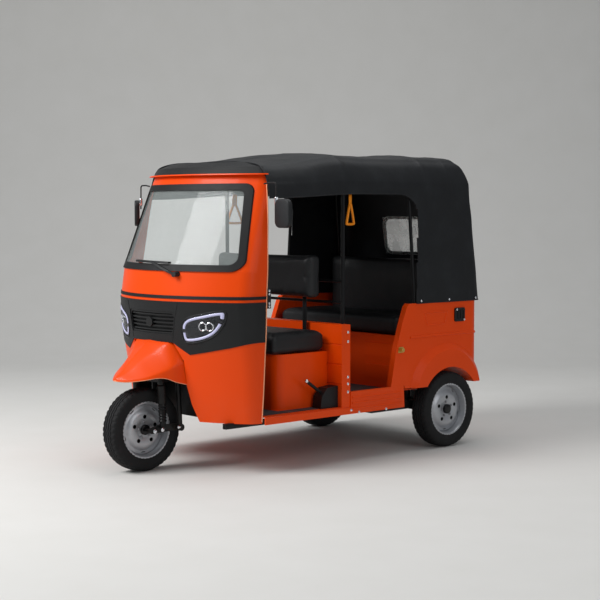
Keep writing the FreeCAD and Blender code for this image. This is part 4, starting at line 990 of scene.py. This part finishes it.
def wrap_tyre(name, node, rim_node, body):
    """A tyre with a zigzag tread, the size of its solid."""
    low, high = span(node)
    rim_low, rim_high = span(rim_node)
    centre, crown = (low + high) / 2, (high.z - low.z) / 2
    half, wall = (high.y - low.y) / 2, crown - (rim_high.z - rim_low.z) / 2 + 0.006
    half_rows = [(a, 0.006 * a * a + deep, swing) for a, deep, swing in TREAD_ROWS]
    half_rows += [(a, 0.006 + share * (wall - 0.006), 0.0) for a, share in WALL_ROWS]
    rows = [(-a, d, s) for a, d, s in reversed(half_rows[1:])] + half_rows
    columns = ZIGZAGS * TREAD_STEPS

    def place(i, j):
        turn = 2 * math.pi * (i % columns) / columns
        phase = (i % TREAD_STEPS) / TREAD_STEPS
        zigzag = abs(2 * phase - 1) * 2 - 1
        across, deep, swing = rows[j]
        notch = 0.004 if 0.6 < abs(across) < 0.9 and phase < 0.2 else 0.0
        radius = crown - deep - notch
        y = (across + 0.045 * swing * zigzag) * half
        return (centre.x + radius * math.cos(turn), centre.y + y,
                centre.z + radius * math.sin(turn))

    tyre = laid_grid(columns + 1, len(rows), place)
    modify(tyre, "SOLIDIFY", thickness=0.004, offset=-1)
    settle(tyre, name, tyre_rubber, body, 30)
    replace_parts(tyre, node)
    return tyre


tyres = [wrap_tyre("front_tyre_tread", "front_tyre", "front_rim", "front_wheel")]
for side in ("left", "right"):
    tyres.append(wrap_tyre(f"rear_tyre_tread_{side}", f"rear_tyre_{side}", f"rear_rim_{side}",
                           f"rear_wheel_{side}"))
print("tyres", [len(t.data.polygons) for t in tyres], "faces")

# %% [markdown]
# ## The beak
#
# The mudguard under the mask is one pressed sheet with a soft crease along each side. Four lines
# drawn from the cab to the tip hold its whole shape: the lip, the crease, the upper edge and the
# crown. A grid is stretched over them, and two corners close to each line keep it tight when
# the subdivision rounds everything else.

# %% Press the beak
BEAK = {  # for each line: distance ahead of the axle, half width, height
    "lip": [(1.792, 0.243, 0.512), (1.895, 0.236, 0.537), (1.95, 0.216, 0.560),
            (2.0, 0.190, 0.565), (2.05, 0.158, 0.556), (2.1, 0.108, 0.546),
            (2.14, 0.054, 0.541), (2.166, 0.0, 0.544)],
    "crease": [(1.792, 0.247, 0.662), (1.895, 0.234, 0.634), (1.95, 0.214, 0.610),
               (2.0, 0.186, 0.589), (2.05, 0.153, 0.570), (2.1, 0.102, 0.557),
               (2.14, 0.050, 0.550), (2.166, 0.0, 0.548)],
    "edge": [(1.792, 0.196, 0.778), (1.895, 0.160, 0.762), (1.95, 0.114, 0.712),
             (2.0, 0.080, 0.676), (2.05, 0.062, 0.636), (2.1, 0.043, 0.594),
             (2.14, 0.022, 0.568), (2.166, 0.0, 0.552)],
    "crown": [(1.792, 0.0, 0.780), (1.895, 0.0, 0.774), (1.95, 0.0, 0.742),
              (2.0, 0.0, 0.700), (2.05, 0.0, 0.655), (2.1, 0.0, 0.606),
              (2.14, 0.0, 0.574), (2.166, 0.0, 0.553)],
}
BEAK_ROOT, BEAK_TIP = BEAK["lip"][0][0], BEAK["lip"][-1][0]
HOLD = 0.16  # how near to a line its holding corners lie, as a share of the way to the next
BEAK_ROWS = 30
reach = np.linspace(BEAK_ROOT, BEAK_TIP, BEAK_ROWS)
beak_lines = []
for knots in BEAK.values():
    fine = through(knots, 600)
    beak_lines.append(np.stack([reach] + [np.interp(reach, fine[:, 0], fine[:, i])
                                          for i in (1, 2)], 1))
other_half = [line * (1, -1, 1) for line in reversed(beak_lines[:-1])]
beak_lines += other_half
beak_columns = [beak_lines[0]]
for before, after in zip(beak_lines, beak_lines[1:]):
    beak_columns += [before * (1 - HOLD) + after * HOLD, before * HOLD + after * (1 - HOLD), after]

beak = laid_grid(len(beak_columns), BEAK_ROWS, lambda i, j: tuple(beak_columns[i][j]))
modify(beak, "SUBSURF", levels=1, render_levels=1)
modify(beak, "SOLIDIFY", thickness=0.004, offset=-1)
settle(beak, "pressed_beak", orange_paint, smooth=50)
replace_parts(beak, "front_beak")
lip = [tuple(p) for p in beak_lines[0]] + [tuple(p) for p in beak_lines[-1][::-1][1:]]
# The lip's bead is painted pale: a painted highlight along the beak's edge.
tube(lip, 0.0035, "beak_lip_bead", bead_painted_highlight)
print("beak", len(beak.data.polygons), "faces")

# %% [markdown]
# ## Headlamps
#
# The lamp is a dark, glossy housing on the mask under a clear cover, with a light guide that
# runs round it in two strokes, and two small chrome reflectors. All of them follow one closed
# outline on the mask's curved skin. The skin there is close to a simple curved surface, which
# is fitted to eight points on it, so a point is found from its y and z.

# %% The lamp's outline
MASK_POINTS = np.array([
    (1.877, 0.263, 0.864), (1.866, 0.306, 0.913), (1.769, 0.497, 0.959), (1.748, 0.525, 0.948),
    (1.752, 0.512, 0.873), (1.793, 0.444, 0.819), (1.855, 0.309, 0.779), (1.871, 0.272, 0.813)])
LAMP_OUTLINE = [(0.262, 0.862), (0.300, 0.911), (0.400, 0.940), (0.488, 0.958), (0.517, 0.946),
                (0.508, 0.890), (0.462, 0.822), (0.400, 0.786), (0.318, 0.768), (0.272, 0.782)]
LAMP_STEPS = 120
mask_x, mask_y, mask_z = MASK_POINTS.T
terms = np.stack([np.ones(len(mask_x)), mask_y, mask_z, mask_y ** 2, mask_y * mask_z], 1)
SKIN = np.linalg.lstsq(terms, mask_x, rcond=None)[0]


def closed_line(knots, count):
    """A smooth closed line through flat knots, as evenly spaced points."""
    knots = np.array(knots, float)
    fine = []
    for i in range(len(knots)):
        a, b, c, d = (knots[(i + k) % len(knots)] for k in (-1, 0, 1, 2))
        for t in np.arange(40) / 40:
            fine.append(0.5 * (2 * b + (c - a) * t + (2 * a - 5 * b + 4 * c - d) * t * t
                               + (3 * b - a - 3 * c + d) * t ** 3))
    fine = np.array(fine + [fine[0]])
    run = np.concatenate([[0], np.cumsum(np.linalg.norm(np.diff(fine, axis=0), axis=1))])
    stops = np.linspace(0, run[-1], count, endpoint=False)
    return np.stack([np.interp(stops, run, fine[:, i]) for i in (0, 1)], 1)


lamp_line = closed_line(LAMP_OUTLINE, LAMP_STEPS)
lamp_middle = lamp_line.mean(axis=0)
tangent = np.roll(lamp_line, -1, axis=0) - np.roll(lamp_line, 1, axis=0)
tangent /= np.linalg.norm(tangent, axis=1, keepdims=True)
inward = np.stack([-tangent[:, 1], tangent[:, 0]], 1)
inward *= np.sign(((lamp_middle - lamp_line) * inward).sum(axis=1, keepdims=True))


def on_skin(y, z, lift):
    """A point on the mask at y and z, raised outwards by a lift."""
    x = SKIN @ (1, y, z, y * y, y * z)
    out = Vector((1, -(SKIN[1] + 2 * SKIN[3] * y + SKIN[4] * z), -(SKIN[2] + SKIN[4] * y)))
    return Vector((x, y, z)) + out.normalized() * lift


def lamp_disc(profile, shrink=0.0):
    """A round sheet inside the lamp's outline; the profile gives share out and lift."""
    edge = lamp_line + inward * shrink

    def place(i, j):
        share, lift = profile[j]
        y, z = lamp_middle + (edge[i % LAMP_STEPS] - lamp_middle) * share
        return on_skin(y, z, lift)

    return laid_grid(LAMP_STEPS + 1, len(profile), place)


print("the lamp is", [round(side * 1000) for side in np.ptp(lamp_line, axis=0)], "mm")

# %% Housing, cover and rim
bowl = lamp_disc([(1.0, 0.001), (0.985, 0.0025), (0.93, 0.0022), (0.6, 0.002), (0.3, 0.002),
                  (0.0, 0.002)], -0.013)
modify(bowl, "SOLIDIFY", thickness=0.002, offset=0)
settle(bowl, "lamp_bowl_left", lamp_black)
cover = lamp_disc([(1.0, 0.004), (0.97, 0.007), (0.9, 0.012), (0.7, 0.015), (0.35, 0.016),
                   (0.0, 0.016)], 0.002)
modify(cover, "SOLIDIFY", thickness=0.0012, offset=0)
settle(cover, "lamp_cover_left", lens_glass)
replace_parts(cover, "headlamps")
rim = tube([on_skin(y, z, 0.004) for y, z in lamp_line], 0.004, "lamp_rim_left", black_plastic,
           loop=True)
print("housing, cover and rim")

# %% Light guide and reflectors
GUIDE_INSET, GUIDE_WIDTH, CORNER_EXTRA = 0.011, 0.013, 0.006
GUIDE_LIFT, GUIDE_DOME = 0.0035, 0.004
REFLECTORS, REFLECTOR_Z = (0.392, 0.430), 0.866
GAP_PLACES = [(0.264, 0.838), (0.508, 0.893)]
TOP_CORNER = (0.510, 0.935)


def nearest(y, z):
    """The number of the outline's point nearest to y and z."""
    return int(np.argmin(np.linalg.norm(lamp_line - (y, z), axis=1)))


def light_stroke(first, last):
    """One stroke of the light guide between two points of the outline."""
    count = (last - first) % LAMP_STEPS
    thick = nearest(*TOP_CORNER)

    def place(i, j):
        k = (first + i) % LAMP_STEPS
        away = min((k - thick) % LAMP_STEPS, (thick - k) % LAMP_STEPS)
        width = GUIDE_WIDTH + CORNER_EXTRA * math.exp(-(away / 5) ** 2)
        share = j / 4
        y, z = lamp_line[k] + inward[k] * (GUIDE_INSET + width * share)
        return on_skin(y, z, GUIDE_LIFT + GUIDE_DOME * math.sin(math.pi * share))

    stroke = laid_grid(count + 1, 5, place)
    modify(stroke, "SOLIDIFY", thickness=0.003, offset=0)
    return stroke


ends = [nearest(*place) for place in GAP_PLACES]
strokes = [light_stroke((ends[0] + 2) % LAMP_STEPS, (ends[1] - 3) % LAMP_STEPS),
           light_stroke((ends[1] + 3) % LAMP_STEPS, (ends[0] - 2) % LAMP_STEPS)]
guide = settle(join_up(strokes), "lamp_guide_left", light_guide, smooth=60)
cups = []
for y in REFLECTORS:
    deselect()
    facing = on_skin(y, REFLECTOR_Z, 1.0) - on_skin(y, REFLECTOR_Z, 0.0)
    bpy.ops.mesh.primitive_torus_add(major_radius=0.023, minor_radius=0.004, major_segments=40,
                                     minor_segments=10, location=on_skin(y, REFLECTOR_Z, 0.005),
                                     rotation=facing.to_track_quat("Z", "Y").to_euler())
    cups.append(bpy.context.object)
    bpy.ops.object.transform_apply(location=True, rotation=True, scale=True)
reflectors = settle(join_up(cups), "lamp_reflectors_left", chrome)
for piece in (bowl, cover, rim, guide, reflectors):
    twin(piece, piece.name.replace("_left", "_right"))
print("each light guide has", len(guide.data.polygons), "faces")

# %% [markdown]
# ## Pressed wheels
#
# A wheel of this kind is two rolled and pressed steel parts: the rim and the disc welded into
# it. Both are shapes of revolution, so one profile turned round the axle makes each of them.
# The round holes and the slots by the rim are punched afterwards, with cutters that go through.
# A plain drum behind the disc keeps the holes dark.

# %% Tools for blocks and rods


def block(size, place=(0, 0, 0), bevel=0.002, segments=2):
    """A box with bevelled edges, centred on a place."""
    deselect()
    bpy.ops.mesh.primitive_cube_add(size=1)
    piece = bpy.context.object
    piece.scale = size
    bpy.ops.object.transform_apply(location=True, rotation=True, scale=True)
    if bevel:
        modify(piece, "BEVEL", width=bevel, segments=segments)
    piece.location = place
    return piece


def rod(corners, radius, length, bevel, segments, place=(0, 0, 0), tip=(0, 0, 0)):
    """A round bar with bevelled ends, upright until it is tipped, centred on a place."""
    deselect()
    bpy.ops.mesh.primitive_cylinder_add(vertices=corners, radius=radius, depth=length)
    piece = bpy.context.object
    modify(piece, "BEVEL", width=bevel, segments=segments, limit_method="ANGLE")
    piece.location, piece.rotation_euler = place, tip
    return piece


print("tools for blocks and rods are ready")

# %% Press the wheels
RIM_PROFILE = [  # radius, distance outwards from the wheel's middle
    (0.1685, -0.050), (0.1685, -0.052), (0.160, -0.051), (0.156, -0.044), (0.152, -0.020),
    (0.149, 0.000), (0.152, 0.022), (0.156, 0.044), (0.160, 0.051), (0.1685, 0.052),
    (0.1685, 0.050)]
DISC_PROFILE = [
    (0.1495, 0.000), (0.146, 0.010), (0.140, 0.013), (0.126, 0.013), (0.118, 0.019),
    (0.104, 0.030), (0.094, 0.032), (0.060, 0.032), (0.052, 0.028), (0.040, 0.027), (0.0, 0.027)]
SHEET_STEEL = 0.003
WHEEL_STEPS = 96
HOLES = 5
PUNCHES = [  # circle's radius, hole's radius, stretch round the wheel, turn as a share of a step
    (0.077, 0.0125, 1, 0.25), (0.134, 0.0035, 5, 0.75)]
NUT_CIRCLE, NUT_OUT, NUT_TURN = 0.047, 0.0285, 0.2
HUB_OUT, DRUM_IN = 0.030, 0.012
SIDEWAYS = (math.pi / 2, 0, 0)


def turned(profile, centre, out):
    """A sheet turned round the wheel's axle, from rows of radius and distance outwards."""
    def place(i, j):
        turn = 2 * math.pi * (i % WHEEL_STEPS) / WHEEL_STEPS
        radius, away = profile[j]
        return (centre.x + radius * math.cos(turn), centre.y + out * away,
                centre.z + radius * math.sin(turn))

    sheet = laid_grid(WHEEL_STEPS + 1, len(profile), place)
    modify(sheet, "SOLIDIFY", thickness=SHEET_STEEL, offset=0)
    return sheet


def punch(disc, centre, circle, hole, stretch, offset):
    """Punches a ring of holes through the disc, each longer round the wheel by its stretch."""
    for k in range(HOLES):
        turn = 2 * math.pi * (k + offset) / HOLES
        deselect()
        bpy.ops.mesh.primitive_cylinder_add(vertices=24, radius=hole, depth=0.16, rotation=SIDEWAYS)
        cutter = bpy.context.object
        cutter.scale = (stretch, 1, 1)
        bpy.ops.object.transform_apply(location=True, rotation=True, scale=True)
        cutter.rotation_euler = (0, math.pi / 2 - turn, 0)
        cutter.location = centre + Vector((circle * math.cos(turn), 0, circle * math.sin(turn)))
        bpy.ops.object.transform_apply(location=True, rotation=True, scale=True)
        modify(disc, "BOOLEAN", operation="DIFFERENCE", solver="EXACT", object=cutter)
        only(cutter)
        bpy.ops.object.delete()


def pressed_wheel(node, body, out):
    """A rim with its punched disc, the drum behind it, and the black hub with its nuts."""
    low, high = span(node)
    centre = (low + high) / 2
    disc = turned(DISC_PROFILE, centre, out)
    for row in PUNCHES:
        punch(disc, centre, *row)
    wheel = settle(join_up([turned(RIM_PROFILE, centre, out), disc]), f"{node}_pressed",
                   wheel_silver, body, 40)
    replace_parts(wheel, node)
    hub = rod(40, 0.031, 0.034, 0.006, 3, centre + Vector((0, out * HUB_OUT, 0)), SIDEWAYS)
    settle(hub, f"{node}_hub", lamp_black, body, 40)
    drum = rod(48, 0.141, 0.034, 0.006, 3, centre - Vector((0, out * DRUM_IN, 0)), SIDEWAYS)
    settle(drum, f"{node}_drum", black_paint, body, 40)
    turns = [2 * math.pi * k / HOLES + NUT_TURN for k in range(HOLES)]
    nuts = [(centre + Vector((NUT_CIRCLE * math.cos(a), out * NUT_OUT, NUT_CIRCLE * math.sin(a))),
             (0, out, 0)) for a in turns]
    scatter(bolt_head(0.007, 0.009), nuts, f"{node}_nuts", bare_steel, body)
    return wheel


wheels = [pressed_wheel("front_rim", "front_wheel", 1),
          pressed_wheel("rear_rim_left", "rear_wheel_left", 1),
          pressed_wheel("rear_rim_right", "rear_wheel_right", -1)]
print("wheels", [len(w.data.polygons) for w in wheels], "faces")

# %% [markdown]
# ## Front damper boots and bolts
#
# Ribbed rubber boots keep dirt off the front dampers. Turning a wavy profile round the damper
# gives all the ribs at once. The links carry plain bright bolts.

# %% Boots and link bolts
BOOT_LOW, BOOT_HIGH = Vector((1.9135, 0.12, 0.315)), Vector((1.9235, 0.12, 0.470))
BOOT_RIBS, BOOT_STEPS = 11, 32
BOOT_ROWS = BOOT_RIBS * 6 + 1
BOOT_RADIUS, RIB_DEPTH, FOOT_SHARE = 0.0235, 0.004, 0.86
LINK_BOLTS = [(1.980, 0.246), (1.925, 0.250), (1.805, 0.255)]
LINK_FACE = 0.1345


def boot_place(i, j):
    """The place of one corner of the boot's grid."""
    turn, along = 2 * math.pi * (i % BOOT_STEPS) / BOOT_STEPS, j / (BOOT_ROWS - 1)
    radius = BOOT_RADIUS + RIB_DEPTH * math.sin(along * BOOT_RIBS * 2 * math.pi)
    radius *= FOOT_SHARE + (1 - FOOT_SHARE) * along
    core = BOOT_LOW.lerp(BOOT_HIGH, along)
    return core + Vector((radius * math.cos(turn), radius * math.sin(turn), 0))


boot = laid_grid(BOOT_STEPS + 1, BOOT_ROWS, boot_place)
modify(boot, "SOLIDIFY", thickness=0.0015, offset=-1)
settle(boot, "damper_boot_left", rubber, "steering", 70)
twin(boot, "damper_boot_right", "steering")
link_bolts = [((x, side * LINK_FACE, z), (0, side, 0)) for side in (1, -1) for x, z in LINK_BOLTS]
scatter(bolt_head(0.0085, 0.009), link_bolts, "link_bolts", chrome, "steering")
print("two boots and", len(link_bolts), "bolts")

# %% [markdown]
# ## Beads and bolts along the panels
#
# Pressed panels end in a folded edge, and on the cab a rubber bead covers it; its pale colour is
# a painted highlight along that edge. Its line is found by feeling for the edge: at each height a
# ray from the side is moved forwards until it meets the panels. The swage line and the pressed
# frame on the rear quarters are laid in the same way, as low ridges that follow the skin.

# %% Feel for the panels
CAB_NODES = ["cab_upper_panel", "front_mask", "leg_shield"]
BEAD_RADIUS = 0.0038


def skin(nodes, start, direction, reach):
    """Where a ray first meets these solids, from the rear axle, or None."""
    shortest, found = reach, None
    for node in nodes:
        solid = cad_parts[node]
        begin = solid.matrix_world.inverted() @ at(*start)
        hit, place, _, _ = solid.ray_cast(begin, Vector(direction), distance=reach)
        if hit and (place - begin).length <= shortest:
            shortest, found = (place - begin).length, solid.matrix_world @ place - AXLE
    return found


def side_skin(nodes, x, z, side=1):
    """The outermost point of these solids at x and z, felt for from the side."""
    return skin(nodes, (x, side, z), (0, -side, 0), 0.75)


def cab_edge(z):
    """The rearmost point of the cab's side at a height."""
    for x in np.arange(1.46, 1.62, 0.001):
        found = side_skin(CAB_NODES, x, z)
        if found:
            return Vector((x + 0.002, found.y + 0.0005, z))
    return None


edge = [p for p in (cab_edge(z) for z in np.arange(0.31, 1.70, 0.03)) if p]
smooth_edge = []
for i, point in enumerate(edge):
    near = edge[max(0, i - 1):i + 2]
    smooth_edge.append(Vector((sum(q.x for q in near) / len(near),
                               sum(q.y for q in near) / len(near), point.z)))
# The cab's beads are painted pale, a painted highlight along the folded edge.
twin(tube(smooth_edge, BEAD_RADIUS, "cab_bead_left", bead_painted_highlight), "cab_bead_right")
print("a bead of", len(smooth_edge), "points on each side of the cab")

# %% Ridges on the rear quarters
SWAGE_RADIUS, FRAME_RADIUS, RIDGE_SUNK = 0.010, 0.0065, 0.35


def ridge(places, radius, name, loop=False):
    """A low ridge that follows the left quarter's skin through places given as x and z."""
    line = [side_skin(["rear_quarter_left"], x, z) for x, z in places]
    line = [p - Vector((0, radius * RIDGE_SUNK, 0)) for p in line if p]
    return tube(line, radius, name, orange_paint, loop=loop)


swage = [(x, 0.7300 + 0.004 * math.sin((0.36 - x) * 4)) for x in np.linspace(0.352, -0.285, 40)]
rounded = closed_line([(0.205, 0.880), (0.215, 0.868), (0.195, 0.812), (0.180, 0.804),
                       (0.045, 0.804), (0.030, 0.812), (0.012, 0.868), (0.022, 0.880)], 60)
ridges = [ridge(swage, SWAGE_RADIUS, "quarter_swage_left"),
          ridge(rounded, FRAME_RADIUS, "quarter_frame_left", True)]
for piece in ridges:
    twin(piece, piece.name.replace("_left", "_right"))
print("ridges", [len(r.data.polygons) for r in ridges], "faces")

# %% Bolts on the panels
FLANGE_NODES = ["partition", "side_sills", "floor_pan"]
FLANGE_BOLTS = [(0.889, 0.795), (0.889, 0.738), (0.889, 0.522), (0.889, 0.480), (0.889, 0.431),
                (0.866, 0.318), (0.800, 0.300), (0.564, 0.297)]
VENT_BOLTS, VENT_FACE = [(-0.074, 0.889), (-0.146, 0.822)], 0.639
STOP_BOLTS, STOP_FACE = [(1.527, z) for z in (1.070, 1.052, 0.998, 0.980)], 0.6302

bolt_spots = []
for x, z in FLANGE_BOLTS:
    for side in (1, -1):
        place = side_skin(FLANGE_NODES, x, z, side)
        if place:
            bolt_spots.append((place, (0, side, 0)))
scatter(bolt_head(0.006, 0.0045, 20), bolt_spots, "flange_bolts", chrome)
stop = block((0.026, 0.022, 0.115), (1.526, 0.619, 1.025), 0.003)
twin(settle(stop, "door_stop_left", black_plastic, smooth=40), "door_stop_right")
for spots, face, radius, name in ((VENT_BOLTS, VENT_FACE, 0.005, "vent_bolts"),
                                  (STOP_BOLTS, STOP_FACE, 0.0048, "door_stop_bolts")):
    places = [((x, side * face, z), (0, side, 0)) for side in (1, -1) for x, z in spots]
    scatter(bolt_head(radius, 0.004, 20), places, name, chrome)
print(len(bolt_spots), "flange bolts")

# %% [markdown]
# ## Snaps and stitches
#
# Chrome snaps hold the canopy's hem to the body, one at each turn of the hem's folds. The
# window's film is sewn in with thick white thread, which shows as a dashed line on both faces.

# %% Snaps and stitches
SNAP_RADIUS, SNAP_HEIGHT, SNAP_FACE = 0.0075, 0.958, 0.6345
SIDE_SNAPS, BACK_SNAPS = (0.258, -0.005, -0.262), (-0.5, -0.25, 0, 0.25, 0.5)
SEAM_OUT, STITCHES, STITCH_LIFT = 0.016, 96, 0.0045

snap_spots = [((x, side * SNAP_FACE, SNAP_HEIGHT), (0, side, 0.02)) for side in (1, -1)
              for x in SIDE_SNAPS]
snap_spots += [((HEM_REAR - 0.0025, y, SNAP_HEIGHT), (-1, 0, 0.02)) for y in BACK_SNAPS]
deselect()
bpy.ops.mesh.primitive_uv_sphere_add(segments=20, ring_count=10, radius=SNAP_RADIUS)
dome = bpy.context.object
dome.scale.z = 0.45
bpy.ops.object.transform_apply(location=True, rotation=True, scale=True)
scatter(dome, snap_spots, "canopy_snaps", chrome)

seam = []
for turn in np.linspace(0, 2 * math.pi, 60, endpoint=False):
    beyond = (0.6 * math.cos(turn), (WINDOW_LOW + WINDOW_HIGH) / 2 + 0.6 * math.sin(turn))
    seam.append(window_edge(*beyond, SEAM_OUT)[0])
seam = closed_line(seam, STITCHES)
thread_spots = []
for k, (y, z) in enumerate(seam):
    ahead = seam[(k + 1) % STITCHES] - seam[k - 1]
    for lift in (-STITCH_LIFT, STITCH_LIFT):
        thread_spots.append(((back_x(z) + lift, y, z), (0, *ahead)))
deselect()
bpy.ops.mesh.primitive_cylinder_add(vertices=6, radius=0.0013, depth=0.009)
scatter(bpy.context.object, thread_spots, "window_stitches", thread_white)
print(len(snap_spots), "snaps and", len(thread_spots), "stitches")

# %% [markdown]
# ## Mirrors
#
# Each head is a shallow plastic shell with big round corners and a glass let into its back. It
# hangs from a thin bent bar with a bright knuckle. The near head faces back; the far one is
# turned on its bar, as in the photograph.

# %% Hang the mirrors
MIRROR_HEAD = Vector((0.032, 0.128, 0.166))
MIRROR_GLASS = MIRROR_HEAD - Vector((0.030, 0.014, 0.014))
GLASS_SHIFT = -0.0158
MIRROR_BAR = [(1.506, 0.560, 1.684), (1.504, 0.60, 1.690), (1.502, 0.648, 1.690),
              (1.501, 0.660, 1.680), (1.501, 0.662, 1.540)]


def rounded_plate(size, corner):
    """A plate across x with big round corners and softly bevelled faces."""
    plate = block(size, bevel=0)
    only(plate)
    bpy.ops.object.mode_set(mode="EDIT")
    choose("edges", lambda e: abs(middle(e).x) < 1e-6 and abs(middle(e).y) > 0.01)
    bpy.ops.mesh.bevel(offset=corner, segments=8, profile=0.5)
    bpy.ops.object.mode_set(mode="OBJECT")
    modify(plate, "BEVEL", width=min(0.009, size.x * 0.3), segments=3, limit_method="ANGLE")
    return plate


def mirror_head(centre, turn, side):
    """A shell and its glass, turned about the upright."""
    shell, glass = rounded_plate(MIRROR_HEAD, 0.040), rounded_plate(MIRROR_GLASS, 0.034)
    for piece, shift in ((shell, 0.0), (glass, GLASS_SHIFT)):
        piece.location = Vector(centre) + shift * Vector((math.cos(turn), math.sin(turn), 0))
        piece.rotation_euler = (0, 0, turn)
    settle(glass, f"mirror_glass_{side}", chrome, smooth=40)
    return settle(shell, f"mirror_shell_{side}", mirror_plastic, smooth=40)


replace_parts(mirror_head((1.500, 0.722, 1.514), 0.0, "left"), "mirrors")
mirror_head((1.500, -0.706, 1.514), math.radians(-35), "right")
for side, name in ((1, "left"), (-1, "right")):
    tube([(x, side * y, z) for x, y, z in MIRROR_BAR], 0.0045, f"mirror_bar_{name}", rubber)
    knuckle = rod(24, 0.011, 0.045, 0.003, 2, (1.501, side * 0.662, 1.585))
    settle(knuckle, f"mirror_knuckle_{name}", chrome, smooth=40)
print("two mirrors")

# %% [markdown]
# ## Grab handles
#
# The handles are moulded rings, a triangle with round corners, on a flat strap. They never
# hang quite square to the vehicle, so each is turned a little about the upright.

# %% Mould the handles
RING = closed_line([(0.0, 1.572), (-0.013, 1.556), (-0.047, 1.462), (-0.040, 1.449),
                    (0.040, 1.449), (0.047, 1.462), (0.013, 1.556)], 60)
HANDLE_X, HANDLE_Y, STRAP_Z = 0.812, 0.555, 1.599


def grab_handle(side, turn, name):
    """A ring and its strap, hanging at the canopy's edge."""
    across = Vector((math.cos(turn), math.sin(turn), 0))
    place = Vector((HANDLE_X, side * HANDLE_Y, 0))
    ring = tube([place + across * a + Vector((0, 0, z)) for a, z in RING], 0.0082,
                f"grab_ring_{name}", strap_plastic, loop=True)
    strap = block((0.034, 0.006, 0.075), place + Vector((0, 0, STRAP_Z)))
    strap.rotation_euler = (0, 0, turn)
    settle(strap, f"grab_strap_{name}", strap_plastic, smooth=40)
    return ring


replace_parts(grab_handle(1, math.radians(20), "left"), "strap_handles")
grab_handle(-1, math.radians(-28), "right")
print("two handles")

# %% [markdown]
# ## Seams and small parts
#
# The mask is moulded in three pieces, and the seams between them are thin dark lines. A dark
# strip of the chassis shows below the leg shield, and flat posts carry the driver's backrest.

# %% Seams, strips and posts
SEAM_KNOTS = [(0.246, 0.996), (0.217, 0.897), (0.191, 0.764)]  # y and z, from top to bottom
BARS = [  # name, lowest corner, highest corner
    ("chassis_strip", (1.42, 0.462, 0.272), (1.74, 0.492, 0.304)),
    ("backrest_post", (0.962, 0.293, 0.700), (0.968, 0.327, 1.010))]

steps = np.linspace(0, 2, 24)
seam_y, seam_z = (np.interp(steps, (0, 1, 2), column) for column in zip(*SEAM_KNOTS))
seam_line = [skin(["front_mask"], (2.6, y, z), (-1, 0, 0), 1.4) for y, z in zip(seam_y, seam_z)]
mask_seam = tube([p for p in seam_line if p], 0.0016, "mask_seam_left", lamp_black)
twin(mask_seam, "mask_seam_right")
for side, suffix in ((1, "left"), (-1, "right")):
    for name, low, high in BARS:
        centre = [(a + b) / 2 for a, b in zip(low, high)]
        bar = block([b - a for a, b in zip(low, high)], (centre[0], side * centre[1], centre[2]))
        settle(bar, f"{name}_{suffix}", black_paint, smooth=40)
lever = points_of(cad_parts["brake_lever"])
tip = lever[lever[:, 0] > lever[:, 0].max() - 0.012].mean(axis=0) - np.array(AXLE)
deselect()
bpy.ops.mesh.primitive_uv_sphere_add(segments=20, ring_count=12, radius=0.013, location=tip)
settle(bpy.context.object, "brake_lever_knob", chrome)
print("seams, strips, posts and the brake lever's knob")
